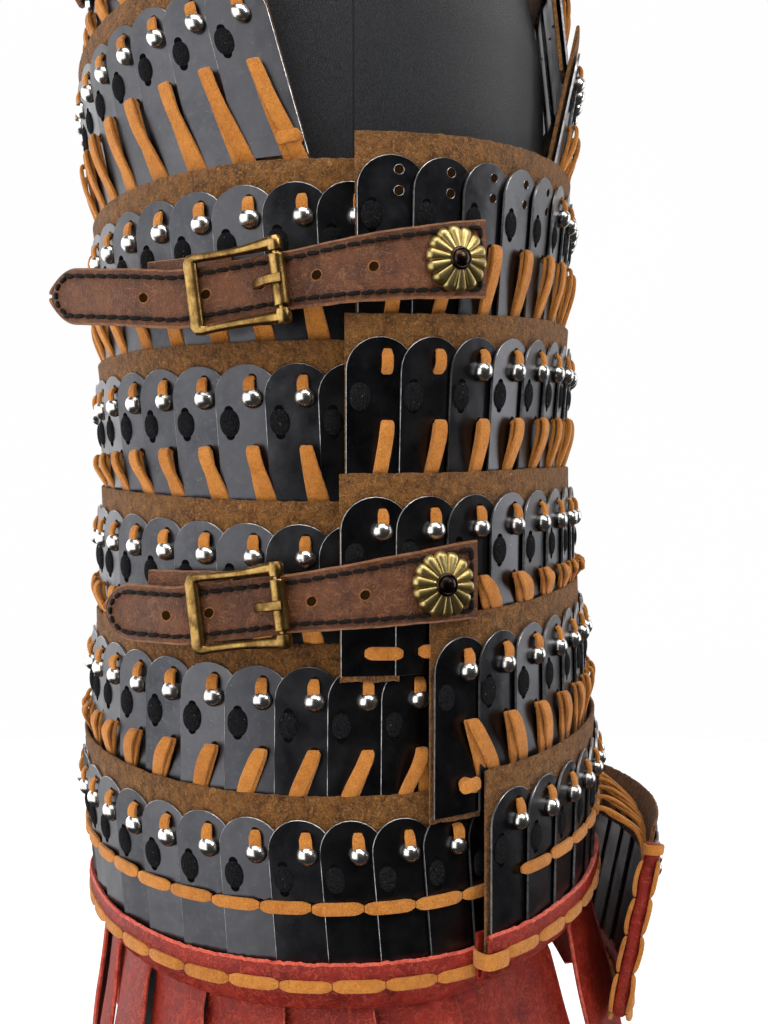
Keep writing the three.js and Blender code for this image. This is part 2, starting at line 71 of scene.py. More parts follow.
def soft_box(name, place, width, height, watts):
    light = bpy.data.lights.new(name, "AREA")
    light.shape, light.size, light.size_y, light.energy = "RECTANGLE", width, height, watts
    box = bpy.data.objects.new(name, light)
    box.location = place
    ray = np.array(LIGHTS_AIM) - np.array(place)
    box.rotation_euler = (np.arccos(-ray[2] / np.linalg.norm(ray)), 0, np.arctan2(ray[1], ray[0]) - pi / 2)
    bpy.context.scene.collection.objects.link(box)


for box_name, settings in SOFT_BOXES.items():
    soft_box(box_name, *settings)

world = bpy.data.worlds.new("studio")
bpy.context.scene.world = world
world.use_nodes = True
world.node_tree.nodes["Background"].inputs["Color"].default_value = (0.95, 0.97, 1, 1)
world.node_tree.nodes["Background"].inputs["Strength"].default_value = 0.03
bpy.context.scene.view_settings.view_transform = "Standard"


class Wire:
    """A node's output, with the sums that shader maths needs."""

    def __init__(self, finish, socket):
        self.finish, self.socket = finish, socket

    def sum(self, operation, first, second):
        return self.finish.node("ShaderNodeMath", {"operation": operation}, {0: first, 1: second})

    def __add__(self, other):
        return self.sum("ADD", self, other)

    def __sub__(self, other):
        return self.sum("SUBTRACT", self, other)

    def __rsub__(self, other):
        return self.sum("SUBTRACT", other, self)

    def __mul__(self, other):
        return self.sum("MULTIPLY", self, other)

    __radd__, __rmul__ = __add__, __mul__


class Finish:
    """A material in the making. node() adds any node, and shade() sets the Principled shader."""

    def __init__(self, name):
        self.material = bpy.data.materials.new(name)
        self.material.use_nodes = True
        self.tree = self.material.node_tree
        self.shader = self.tree.nodes["Principled BSDF"]
        self.place = self.node("ShaderNodeTexCoord", output="Object")

    def node(self, kind, settings=None, inputs=None, output=0):
        node = self.tree.nodes.new(kind)
        for setting, value in (settings or {}).items():
            setattr(node, setting, value)
        for socket, value in (inputs or {}).items():
            self.connect(node.inputs[socket], value)
        return Wire(self, node.outputs[output])

    def connect(self, socket, value):
        if isinstance(value, Wire):
            self.tree.links.new(value.socket, socket)
        elif hasattr(value, "__len__") and len(value) == 3 and socket.type == "RGBA":
            socket.default_value = (*value, 1)
        else:
            socket.default_value = value

    def shade(self, **inputs):
        for socket, value in inputs.items():
            self.connect(self.shader.inputs[socket.replace("_", " ")], value)
        return self.material

    def noise(self, size, detail=3, roughness=0.55, stretch=None, distortion=0.0):
        """Noise of a given size in millimetres."""
        where = self.place
        if stretch:
            where = self.node("ShaderNodeMapping", {}, {"Vector": where, "Scale": stretch})
        inputs = {"Vector": where, "Scale": 1000 / size, "Detail": detail, "Roughness": roughness}
        return self.node("ShaderNodeTexNoise", {}, {**inputs, "Distortion": distortion})

    def threads(self, size, width=0.03, distortion=1.2):
        """Thin curly lines, such as loose fibres, wear or creases."""
        field = self.noise(size, 4, 0.6, distortion=distortion)
        away = self.node("ShaderNodeMath", {"operation": "ABSOLUTE"}, {0: field - 0.5})
        return self.ease(away, 0.0, width, 1.0, 0.0)

    def spots(self, size, feature="F1"):
        inputs = {"Vector": self.place, "Scale": 1000 / size}
        return self.node("ShaderNodeTexVoronoi", {"feature": feature}, inputs, "Distance")

    def ease(self, value, low, high, to_low=0.0, to_high=1.0):
        return self.node(
            "ShaderNodeMapRange", {"clamp": True},
            {"Value": value, "From Min": low, "From Max": high, "To Min": to_low, "To Max": to_high},
        )

    def mix(self, factor, first, second, blend="MIX"):
        sockets = {0: factor, 6: first, 7: second}
        return self.node("ShaderNodeMix", {"data_type": "RGBA", "blend_type": blend}, sockets, 2)

    def split(self, vector):
        node = self.tree.nodes.new("ShaderNodeSeparateXYZ")
        self.connect(node.inputs[0], vector)
        return [Wire(self, out) for out in node.outputs]

    def bump(self, height, depth, under=None):
        """Bump depth in millimetres."""
        inputs = {"Height": height, "Distance": depth * 0.001, "Strength": 1.0}
        if under:
            inputs["Normal"] = under
        return self.node("ShaderNodeBump", {}, inputs)


def flat_panel(name, corners, material):
    mesh = bpy.data.meshes.new(name)
    mesh.from_pydata(corners, [], [(0, 1, 2, 3)])
    mesh.materials.append(material)
    panel = bpy.data.objects.new(name, mesh)
    bpy.context.scene.collection.objects.link(panel)
    return panel


reach = WALL["half_width"]
floor_paint = Finish("floor_paint")
floor_white = floor_paint.mix(floor_paint.noise(400), (0.9, 0.9, 0.9), (0.86, 0.86, 0.86))
floor_paint.shade(Base_Color=floor_white, Roughness=0.9)
floor_paint.shader.inputs["Emission Color"].default_value = (1, 1, 1, 1)
floor_paint.shader.inputs["Emission Strength"].default_value = 0.38
floor_corners = [(-reach, -reach, 0), (reach, -reach, 0), (reach, reach, 0), (-reach, reach, 0)]
floor = flat_panel("floor", floor_corners, floor_paint.material)
floor.visible_glossy = False
glow = Finish("wall_paint")
paper_white = glow.mix(glow.noise(900), (1, 1, 1), (0.985, 0.985, 0.985))
glow.shade(Base_Color=(0, 0, 0), Roughness=1.0, Emission_Color=paper_white)
glow.shader.inputs["Emission Strength"].default_value = 1.0
glow.shader.inputs["Specular IOR Level"].default_value = 0
behind, height = WALL["behind"], WALL["height"]

# Only the camera sees this ring on the floor and round wall, which make every view's ground alike.
sides, above_floor = SURROUND["sides"], SURROUND["above_floor"]
panels, turn = np.arange(sides), np.linspace(0, 2 * pi, sides + 1)[:-1]
rings = ((SURROUND["inner_radius"], above_floor), (reach, above_floor), (reach, height))
ring_corners = [(r * cos(a), r * sin(a), z) for r, z in rings for a in turn]
quads = np.stack([panels, np.roll(panels, -1), np.roll(panels, -1) + sides, panels + sides], -1)
round_wall = bpy.data.meshes.new("surround")
round_wall.from_pydata(ring_corners, [], [*quads.tolist(), *(quads + sides).tolist()])
round_wall.materials.append(glow.material)
far_wall = bpy.data.objects.new("surround", round_wall)
bpy.context.scene.collection.objects.link(far_wall)
for unseen in ("visible_glossy", "visible_diffuse", "visible_shadow"):
    setattr(far_wall, unseen, False)

# The flat wall behind is for light and reflections only.
wall_corners = [(behind, reach, 0), (behind, -reach, 0), (behind, -reach, height), (behind, reach, height)]
wall = flat_panel("wall", wall_corners, glow.material)
wall.visible_camera = False

# ---------------------------------------------------------------------------------------------
# Dress form: a padded torso in charcoal twill with a sewn seam down each side, a lacquered cap
# on its neck and a lacquered oval base.
# ---------------------------------------------------------------------------------------------
PLAN_POWER = 2 / 2.25
FORM = np.array([
    # height, half width, reach to the front, reach to the back
    [12.3, 154, 106, 110], [70, 162, 110, 118], [150, 168, 112, 122], [215, 166, 113, 121],
    [280, 157, 112, 116], [345, 150, 108, 110], [420, 154, 110, 111], [500, 161, 114, 117],
    [560, 166, 117, 123], [620, 168, 116, 127], [660, 167, 108, 124], [690, 159, 96, 112],
    [708, 141, 80, 95], [720, 115, 68, 81], [730, 87, 60, 69], [741, 70, 55, 61], [758, 60, 53, 56],
    [790, 57, 53, 53],
])
FORM_SEAM_Y = -8
NECK_CAP = {"radius": 50, "thickness": 9, "z": 790.3}
BASE = {"half_width": 150, "half_depth": 106, "thickness": 12}


class Heap:
    """Many small closed shapes that are made as one mesh."""

    def __init__(self):
        self.points, self.groups, self.finishes, self.tones, self.lays, self.size = [], [], [], [], [], 0

    def add(self, points, faces, finish=0, tone=0.5, lay=None):
        points = np.asarray(points, float).reshape(-1, 3)
        for group in faces if isinstance(faces, list) else [faces]:
            group = np.asarray(group)
            self.groups.append(group + self.size)
            self.finishes.append(np.full(len(group), finish))
        self.points.append(points)
        self.tones.append(np.full(len(points), tone))
        self.lays.append(np.zeros((len(points), 2)) if lay is None else np.asarray(lay, float).reshape(-1, 2))
        self.size += len(points)

    def stamp(self, placed, faces, finish=0, tones=None):
        """The same shape at many places: placed is (copies, points, 3)."""
        copies, count = placed.shape[:2]
        for group in faces if isinstance(faces, list) else [faces]:
            group = np.asarray(group)
            shifts = (np.arange(copies) * count)[:, None, None]
            self.groups.append((group[None] + shifts).reshape(-1, group.shape[1]) + self.size)
            self.finishes.append(np.full(copies * len(group), finish))
        self.points.append(placed.reshape(-1, 3))
        tones = random.random(copies) if tones is None else tones
        self.tones.append(np.repeat(tones, count))
        self.lays.append(np.zeros((copies * count, 2)))
        self.size += copies * count

    def piece(self, name, finishes, slot, replaces=(), crease=40):
        mesh = bpy.data.meshes.new(name)
        points = np.concatenate(self.points) * 0.001
        mesh.vertices.add(len(points))
        mesh.vertices.foreach_set("co", points.ravel())
        loops = np.concatenate([group.ravel() for group in self.groups]).astype(np.int32)
        sizes = np.concatenate([np.full(len(group), group.shape[1]) for group in self.groups])
        mesh.loops.add(len(loops))
        mesh.loops.foreach_set("vertex_index", loops)
        mesh.polygons.add(len(sizes))
        mesh.polygons.foreach_set("loop_start", (np.cumsum(sizes) - sizes).astype(np.int32))
        mesh.polygons.foreach_set("material_index", np.concatenate(self.finishes).astype(np.int32))
        mesh.polygons.foreach_set("use_smooth", np.ones(len(sizes), bool))
        mesh.update(calc_edges=True)
        mesh.validate()
        shell = bmesh.new()
        shell.from_mesh(mesh)
        bmesh.ops.recalc_face_normals(shell, faces=shell.faces)
        shell.to_mesh(mesh)
        shell.free()
        mesh.set_sharp_from_angle(angle=radians(crease))
        tone = mesh.attributes.new("tone", "FLOAT", "POINT")
        tone.data.foreach_set("value", np.concatenate(self.tones).astype(np.float32))
        lay = mesh.uv_layers.new(name="lay")
        lay.data.foreach_set("uv", (np.concatenate(self.lays)[loops] * 0.001).astype(np.float32).ravel())
        for finish in finishes if isinstance(finishes, (list, tuple)) else [finishes]:
            mesh.materials.append(finish)
        made = bpy.data.objects.new(name, mesh)
        bpy.context.scene.collection.objects.link(made)
        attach(made, "root")
        if replaces:
            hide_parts(*replaces)
        return made


def grid_faces(rows, columns, closed=False):
    """Quads of a grid of points, row by row, round on itself where closed."""
    across = columns if closed else columns - 1
    i, j = np.meshgrid(np.arange(rows - 1), np.arange(across), indexing="ij")
    after = (j + 1) % columns
    return np.stack([i * columns + j, i * columns + after, (i + 1) * columns + after, (i + 1) * columns + j],
                    -1).reshape(-1, 4)


def eased(x, known_x, known_y, reach=8.0):
    """Straight lines between known points, with their corners rounded over a reach."""
    shifts = np.linspace(-reach, reach, 9)
    x = np.asarray(x, float)
    return np.mean([np.interp(x + shift, known_x, known_y) for shift in shifts], axis=0)


def plan_point(angle, half_width, near, far):
    c, s = np.cos(angle), np.sin(angle)
    depth = np.where(c >= 0, near, far)
    return half_width * np.sign(s) * np.abs(s) ** PLAN_POWER, depth * np.sign(c) * np.abs(c) ** PLAN_POWER


def lathe(profile, segments, centre=(0, 0, 0), stretch=(1, 1)):
    """A turned shape about Z from (radius, height) points, closed by its own first and last points."""
    angle = np.linspace(0, 2 * pi, segments, endpoint=False)
    profile = np.asarray(profile, float)
    x = profile[:, :1] * np.cos(angle) * stretch[0] + centre[0]
    y = profile[:, :1] * np.sin(angle) * stretch[1] + centre[1]
    z = np.repeat(profile[:, 1:], segments, axis=1) + centre[2]
    points = np.stack([x, y, z], -1).reshape(-1, 3)
    top = (len(profile) - 1) * segments + np.arange(segments)
    faces = [grid_faces(len(profile), segments, closed=True), np.arange(segments)[None, ::-1], top[None]]
    return points, faces


def twill_finish():
    finish = Finish("form_twill")
    u, v, _ = finish.split(finish.node("ShaderNodeUVMap", {"uv_map": "lay"}))
    wander = (finish.noise(3.0) - 0.5) * 0.5
    diagonal = finish.node("ShaderNodeMath", {"operation": "SINE"}, {0: (u + v * 0.62) * 6800 + wander})
    yarn = finish.node("ShaderNodeMath", {"operation": "SINE"}, {0: (v - u * 0.35) * 9400 + wander})
    weave = finish.ease(diagonal + yarn * 0.7, -1.5, 1.6)
    slub = finish.noise(0.55, detail=2, stretch=(1, 1, 0.35))
    fleck = finish.ease(slub * weave, 0.26, 0.52)
    shade = finish.mix(fleck, (0.0022, 0.0022, 0.0026), (0.050, 0.052, 0.058))
    shade = finish.mix(finish.ease(finish.noise(45), 0.3, 0.7) * 0.5, shade, (0.004, 0.004, 0.005), "SCREEN")
    _, y, _ = finish.split(finish.place)
    away = finish.node("ShaderNodeMath", {"operation": "ABSOLUTE"}, {0: y - FORM_SEAM_Y * 0.001})
    ditch = finish.ease(away, 0.0002, 0.0011)
    shade = finish.mix(1 - ditch, shade, (0.001, 0.001, 0.001))
    relief = weave * 0.7 + slub * 0.3 + ditch * 2.0
    finish.shade(Base_Color=shade, Roughness=0.92, Normal=finish.bump(relief, 0.35))
    finish.shader.inputs["Specular IOR Level"].default_value = 0.25
    finish.shader.inputs["Sheen Weight"].default_value = 0.25
    return finish.material


def lacquer_finish():
    finish = Finish("black_lacquer")
    rubbed = finish.noise(30, detail=5)
    shade = finish.mix(finish.ease(rubbed, 0.45, 0.7), (0.010, 0.009, 0.008), (0.030, 0.026, 0.020))
    grain = finish.noise(2.2, stretch=(1, 0.08, 1))
    return finish.shade(Base_Color=shade, Roughness=finish.ease(rubbed, 0.3, 0.7, 0.28, 0.42),
                        Normal=finish.bump(grain, 0.06))


torso = Heap()
levels, around = 150, 160
level_z = np.linspace(FORM[0, 0], FORM[-1, 0], levels)
half, front, back = [eased(level_z, FORM[:, 0], FORM[:, k], 7)[:, None] for k in (1, 2, 3)]
turn = np.linspace(0, 2 * pi, around + 1)[None]
across, out = plan_point(turn, half, back, front)
skin = np.stack([across, out, np.broadcast_to(level_z[:, None], across.shape)], -1)
step_lengths = np.hypot(np.diff(across, axis=1), np.diff(out, axis=1))
lay_u = np.concatenate([np.zeros((levels, 1)), np.cumsum(step_lengths, axis=1)], axis=1)
lay_v = np.concatenate([[0], np.cumsum(np.hypot(np.diff(level_z), np.diff(half[:, 0])))])
lay_v = np.broadcast_to(lay_v[:, None], lay_u.shape)
last_ring = (levels - 1) * (around + 1) + np.arange(around)
torso.add(skin, [grid_faces(levels, around + 1), np.arange(around)[None, ::-1], last_ring[None]],
          lay=np.stack([lay_u, lay_v], -1))
padding = torso.piece("form_torso_twill", twill_finish(), "form_cloth", ["form_torso"])

cap_radius, cap_top = NECK_CAP["radius"], NECK_CAP["thickness"]
lacquered = Heap()
lacquered.add(*lathe([(0.5, 0), (cap_radius - 1, 0), (cap_radius, 1), (cap_radius, cap_top - 2.5),
                      (cap_radius - 0.9, cap_top - 0.8), (cap_radius - 2.6, cap_top), (0.5, cap_top)], 72,
                     (0, 0, NECK_CAP["z"])))
thick = BASE["thickness"]
lacquered.add(*lathe([(0.005, 0), (0.99, 0), (1, 1.5), (1, thick - 3.5), (0.992, thick - 1.2), (0.975, thick),
                      (0.005, thick)], 96, stretch=(BASE["half_width"], BASE["half_depth"])))
lacquered.piece("form_cap_and_base", lacquer_finish(), "form_lacquer", ["form_neck_cap", "form_base"])

# ---------------------------------------------------------------------------------------------
# Bands: each panel is a stack of level bands. A Band knows where a point lies that is u plates
# along it, h below its plates' tops and off outwards. Every plate lies a little turned, its
# rear edge over the plate behind it, so that the lap faces the wearer's back on both sides.
# ---------------------------------------------------------------------------------------------
FIGURE = np.array([
    # height, half width, reach to the front, reach to the back
    [60, 206, 152, 150], [130, 203, 151, 148], [170, 200, 151, 149], [215, 196, 151, 152],
    [260, 189, 146, 150], [300, 186, 141, 146], [325, 185, 138, 144], [350, 184, 133, 142],
    [420, 186, 132, 143], [500, 190, 131, 145], [560, 190, 133, 149], [610, 186, 136, 155],
    [660, 176, 130, 151], [720, 162, 110, 138],
])
BACK_ROWS = [
    {"top": 679, "drop": -16, "edge": (84, 62)},
    {"top": 603, "drop": -25, "edge": (42, 18)},
    {"top": 517, "drop": -10, "edge": (-45, -45)},
    {"top": 441, "drop": 0, "edge": (-45, -45)},
    {"top": 375, "drop": 11, "edge": (-45, -45)},
    {"top": 307, "drop": 11, "edge": (-88, -88)},
    {"top": 242, "drop": 18, "edge": (-112, -112), "hang": -112},
]
FRONT_ROWS = [
    {"top": 694, "drop": 0, "span": (86, 96), "spread": (70, 60)},
    {"top": 619, "drop": 4, "span": (98, 106), "spread": (60, 0)},
    {"top": 544, "drop": 7, "edge": (-14, -14)},
    {"top": 462, "drop": 10, "edge": (-9, -9)},
    {"top": 385, "drop": 8, "edge": (-7, -7)},
    {"top": 324, "drop": 16, "edge": (-50, -50)},
    {"top": 251, "drop": 20, "edge": (-77, -77), "hang": -128},
]
PLATE = {"length": 85, "width": 32, "pitch": 25, "thickness": 1.2, "rim": 0.22, "in_hem": 79}
ROW_LEAN = 8
FRONT_OVER_BACK = 13
LAP = 1.7
DISHED = 0.35
BACK, FRONT = 1, -1


class LevelCurve:
    """A level line round the figure, looked up by distance from the panel's middle."""

    def __init__(self, half_width, near, far):
        self.half_width = half_width
        self.across, self.out = plan_point(np.linspace(0, pi, 401), half_width, near, far)
        steps = np.hypot(np.diff(self.across), np.diff(self.out))
        self.run = np.concatenate([[0], np.cumsum(steps)])

    def at(self, distance):
        away = np.abs(distance)
        return np.sign(distance) * np.interp(away, self.run, self.across), np.interp(away, self.run, self.out)

    def distance_at(self, out):
        return self.run[np.argmax(self.out <= out)]


class Band:
    def __init__(self, row, facing):
        self.facing, self.top, self.drop = facing, row["top"], row["drop"]
        self.curves = []
        for end, z in enumerate((row["top"], row["top"] - PLATE["length"])):
            width, front_reach, back_reach = [np.interp(z, FIGURE[:, 0], FIGURE[:, k]) for k in (1, 2, 3)]
            lean, spread = end * ROW_LEAN, row.get("spread", (0, 0))[end]
            self.curves.append(
                LevelCurve(width - lean, back_reach - lean, front_reach - lean - FRONT_OVER_BACK)
                if facing == BACK
                else LevelCurve(width - lean + FRONT_OVER_BACK + spread, front_reach - lean, back_reach)
            )
        self.spans = row.get("span") or [
            curve.distance_at(edge * facing) for curve, edge in zip(self.curves, row["edge"])
        ]
        self.count = round(2 * self.spans[1] / PLATE["pitch"])
        self.middle = self.count // 2
        self.hang = self.curves[1].distance_at(row["hang"] * facing) / self.spans[1] if "hang" in row else 1

    def bare(self, u, h):
        t = 2 * u / self.count - 1
        (a0, o0), (a1, o1) = [curve.at(t * span) for curve, span in zip(self.curves, self.spans)]
        k = h / PLATE["length"]
        z = self.top - self.drop * (a0 / self.curves[0].half_width) ** 2 - h
        return a0 + (a1 - a0) * k, self.facing * (o0 + (o1 - o0) * k), z

    def at(self, u, h, off=0.0):
        """Points on the band's smooth outer face, moved out."""
        u, h, off = np.broadcast_arrays(np.asarray(u, float), h, off)
        x, y, z = self.bare(u, h)
        x0, y0, _ = self.bare(u - 0.1, h)
        x1, y1, _ = self.bare(u + 0.1, h)
        length = np.hypot(x1 - x0, y1 - y0)
        nx, ny = self.facing * (y0 - y1) / length, self.facing * (x1 - x0) / length
        return np.stack([x + off * nx, y + off * ny, z], -1)

    def forward(self, j):
        """Which way along the band the wearer's front lies, at plate j."""
        return np.where(j < self.middle, -self.facing, self.facing)

    def on_plate(self, j, s, h, off=0.0):
        """Points on plate j: s towards the wearer's front from its middle line, h down, off outwards."""
        j, s, h, off = np.broadcast_arrays(np.asarray(j), np.asarray(s, float), h, off)
        u = j + 0.5 + self.forward(j) * s / PLATE["pitch"]
        (x0, y0, _), (x1, y1, _) = self.bare(j * 1.0, h), self.bare(j + 1.0, h)
        xs, ys, z = self.bare(u, h)
        k = u - j
        x = (x0 + (x1 - x0) * k) * (1 - DISHED) + xs * DISHED
        y = (y0 + (y1 - y0) * k) * (1 - DISHED) + ys * DISHED
        length = np.hypot(x1 - x0, y1 - y0)
        nx, ny = self.facing * (y0 - y1) / length, self.facing * (x1 - x0) / length
        lap = np.where(j == self.middle, -self.facing * LAP / 2, -LAP * s / PLATE["pitch"])
        return np.stack([x + (off + lap) * nx, y + (off + lap) * ny, z], -1)


bands = {"back": [Band(row, BACK) for row in BACK_ROWS], "front": [Band(row, FRONT) for row in FRONT_ROWS]}
APRON = {"plates": 8, "half_width": 100, "top": 192, "top_y": -168, "foot_y": -150, "bow": 14, "roll": 8}


class ApronBand(Band):
    def __init__(self):
        self.facing, self.top, self.count, self.middle, self.drop = FRONT, APRON["top"], APRON["plates"], 4, 0
        self.spans = (APRON["half_width"], APRON["half_width"])

    def bare(self, u, h):
        t = 2 * u / self.count - 1
        k = h / PLATE["length"]
        y = APRON["top_y"] + (APRON["foot_y"] - APRON["top_y"]) * k - APRON["bow"] * (1 - t * t)
        return APRON["half_width"] * t, y, self.top - h + 0 * t


apron = ApronBand()

# ---------------------------------------------------------------------------------------------
# Plates: blackened spring steel with a round top, a polished edge and an oiled satin face.
# ---------------------------------------------------------------------------------------------


def steel_finish():
    finish = Finish("blackened_steel")
    tone = finish.node("ShaderNodeAttribute", {"attribute_name": "tone"}, output="Fac")
    cloud = finish.noise(16, detail=5, roughness=0.6)
    worn = finish.ease(finish.noise(3.2, detail=6, roughness=0.7), 0.52, 0.75)
    mottle = finish.ease(cloud + tone * 0.35, 0.35, 0.95)
    shade = finish.mix(mottle, (0.042, 0.043, 0.049), (0.085, 0.085, 0.092))
    shade = finish.mix(worn * 0.4, shade, (0.13, 0.125, 0.125))
    specks = finish.ease(finish.spots(2.4), 0.05, 0.09, 1.0, 0.0) * finish.ease(finish.noise(9), 0.55, 0.6)
    shade = finish.mix(specks * 0.7, shade, (0.45, 0.44, 0.42))
    brushed = finish.noise(0.5, detail=2, stretch=(1, 1, 0.06))
    rough = finish.ease(cloud, 0.3, 0.7, 0.27, 0.40)
    ripple = finish.noise(28, detail=2)
    normal = finish.bump(ripple, 0.9, finish.bump(brushed * 0.6 + worn * 0.4, 0.012))
    return finish.shade(Base_Color=shade, Metallic=1.0, Roughness=rough, Normal=normal)


def rim_finish():
    finish = Finish("polished_edge")
    rubbed = finish.noise(2.5, detail=4)
    shade = finish.mix(finish.ease(rubbed, 0.35, 0.7), (0.46, 0.45, 0.45), (0.16, 0.16, 0.17))
    return finish.shade(Base_Color=shade, Metallic=1.0, Roughness=finish.ease(rubbed, 0.3, 0.7, 0.3, 0.45))


def plate_shape(length):
    """One plate in its own (s, h, off): its front, polished edge and back."""
    radius, rim = PLATE["width"] / 2, PLATE["rim"]
    theta = np.linspace(-pi / 2, pi / 2, 15)
    loops = []
    for inset, off in ((rim, 0), (0, -rim * 0.8), (0, -PLATE["thickness"])):
        top = np.stack([(radius - inset) * np.sin(theta), radius - (radius - inset) * np.cos(theta)], -1)
        foot = np.stack([top[::-1, 0], np.full(len(theta), length - inset)], -1)
        ring = np.concatenate([top, foot])
        loops.append(np.column_stack([ring, np.full(len(ring), off)]))
    size, columns = len(loops[0]), len(theta)
    i = np.arange(columns - 1)
    face = np.stack([i, i + 1, size - 2 - i, size - 1 - i], -1)
    back_face = face[:, ::-1] + 2 * size
    edge = grid_faces(3, size, closed=True)
    return np.concatenate(loops), face, edge, back_face


steel, rim_steel = steel_finish(), rim_finish()


def make_plates(name, band, length=PLATE["length"]):
    heap = Heap()
    plate_points, plate_face, plate_edge, plate_back = plate_shape(length)
    j = np.arange(band.count)[:, None]
    tones = random.random(band.count)
    s, h, off = plate_points.T
    placed = band.on_plate(j, s[None], h[None], off[None])
    heap.stamp(placed, [plate_face, plate_back], 0, tones)
    heap.groups.append((plate_edge[None] + (np.arange(band.count) * len(s))[:, None, None]).reshape(-1, 4))
    heap.finishes.append(np.full(len(heap.groups[-1]), 1))
    return heap.piece(f"{name}_steel", [steel, rim_steel], "blackened_steel", [name], crease=25)


for panel, rows in bands.items():
    for i, band in enumerate(rows, 1):
        make_plates(f"{panel}_plates_{i}", band, PLATE["length"] if i < len(rows) else PLATE["in_hem"])
make_plates("apron_plates", apron)

# ---------------------------------------------------------------------------------------------
# Suede: the strip that each band's plates are laced to, flesh side out, with a raw cut edge
# above them and a facing behind the last plate at both ends.
# ---------------------------------------------------------------------------------------------
SUEDE = {"above": 11, "behind": 20, "beyond": 4, "depth": 2.3, "thickness": 1.8, "foot": 88, "in_hem": 79,
         "ragged": 0.35}


def suede_finish(name, pale, mid, dark, nap=1.0):
    finish = Finish(name)
    fibre = finish.noise(0.9, detail=4, roughness=0.7)
    curls = finish.threads(5.0, 0.035) * finish.ease(finish.noise(2.5), 0.42, 0.6)
    pits = finish.ease(finish.spots(2.1, "SMOOTH_F1"), 0.1, 0.75)
    broad = finish.noise(22, detail=4, roughness=0.6)
    patch = finish.noise(5.5, detail=5, roughness=0.7)
    shade = finish.mix(finish.ease(patch, 0.36, 0.66), dark, mid)
    shade = finish.mix(finish.ease(fibre, 0.52, 0.78) * 0.75, shade, pale)
    shade = finish.mix(finish.ease(broad, 0.35, 0.7) * 0.25, shade, mid)
    shade = finish.mix(curls * 0.7 * min(nap, 1.0), shade, pale)
    tufts = finish.ease(fibre * 0.6 + pits * 0.5 + patch * 0.4 + curls * 0.35, 0.3, 1.3)
    finish.shade(Base_Color=shade, Roughness=0.96, Normal=finish.bump(tufts, 0.9 * nap))
    finish.shader.inputs["Specular IOR Level"].default_value = 0.12
    finish.shader.inputs["Sheen Weight"].default_value = 0.12
    return finish.material


brown_suede = suede_finish(
    "brown_suede", pale=(0.50, 0.235, 0.065), mid=(0.185, 0.074, 0.015), dark=(0.050, 0.018, 0.004), nap=1.6)


def strip(heap, band, us, heads, feet, outer, thickness):
    """A strip of leather along a band, from a head to a foot height at each u, with soft cut edges."""
    ragged, rows = SUEDE["ragged"], (0, 0.5, 1)
    us, heads, feet = [np.broadcast_to(np.asarray(x, float), (len(us),)) for x in (us, heads, feet)]
    heads = heads + random.normal(0, ragged * 0.5, len(us))
    feet = feet + random.normal(0, ragged * 0.5, len(us))
    soft = min(thickness * 0.35, 0.7)
    section = []
    for k in rows:
        section.append((heads + soft + (feet - heads - 2 * soft) * k, outer))
    section += [(feet, outer - soft), (feet, outer - thickness + soft)]
    for k in rows[::-1]:
        section.append((heads + soft + (feet - heads - 2 * soft) * k, outer - thickness))
    section += [(heads, outer - thickness + soft), (heads, outer - soft)]
    placed = np.stack([band.at(us, h, off) for h, off in section], 1)
    size = placed.shape[1]
    last = (len(us) - 1) * size + np.arange(size)
    faces = [grid_faces(len(us), size, closed=True), np.arange(size)[None, ::-1], last[None]]
    heap.add(placed, faces)


def make_suede(name, band, faced=True, foot=SUEDE["foot"]):
    heap = Heap()
    beyond = SUEDE["beyond"] / PLATE["pitch"] if faced else 0
    us = np.linspace(-beyond, band.count + beyond, int(band.count * 9))
    inward = np.minimum(us, band.count - us)
    feet = np.where(faced & (inward < 1), foot, SUEDE["behind"])
    strip(heap, band, us, -SUEDE["above"], feet, -SUEDE["depth"], SUEDE["thickness"])
    piece = heap.piece(f"{name}_nap", brown_suede, "brown_suede", [name], crease=70)
    middle = band.at(us, SUEDE["behind"] / 2 + 0 * us, -SUEDE["depth"] + 0 * us)
    length = np.linalg.norm(np.diff(middle, axis=0), axis=1).sum() / 1000
    height = (SUEDE["above"] + (foot if faced else SUEDE["behind"])) / 1000
    facing = (PLATE["pitch"] + SUEDE["beyond"]) * (foot - SUEDE["behind"]) * 1e-6
    area = length * (SUEDE["above"] + SUEDE["behind"]) / 1000 + (2 * facing if faced else 0)


for panel, rows in bands.items():
    for i, band in enumerate(rows, 1):
        held_by = "form_torso" if i == 1 else f"{panel}_plates_{i - 1}"
        facing_foot = SUEDE["foot"] if i < len(rows) else SUEDE["in_hem"]
        make_suede(f"{panel}_suede_{i}", band, foot=facing_foot)
make_suede("apron_suede", apron, faced=False)

# ---------------------------------------------------------------------------------------------
# Fastenings of each plate: a polished steel dome on a tan thong that comes out of the hole above
# it, and a black suede tie. Beside the side closures some holes are left empty.
# ---------------------------------------------------------------------------------------------
HOLES = {"forward": 3, "upper": 6.8, "lower": 16.5, "lace": 40.5, "radius": 2.3}
DOME = {"radius": 4.9, "stand": 0.9, "rise": 4.5}
THONG = {"width": 5.8, "thickness": 2.3}
TIE = {"s": -9.4, "h": 28, "half_width": 4.9, "half_height": 6.5, "rise": 1.8, "waist": 0.10}
# how many plates in from each edge of a row are left bare, or have a thong and no dome
BARE_PLATES = {("front", 3): 5, ("back", 3): 1}
THONG_ONLY_PLATES = {("front", 4): 2}


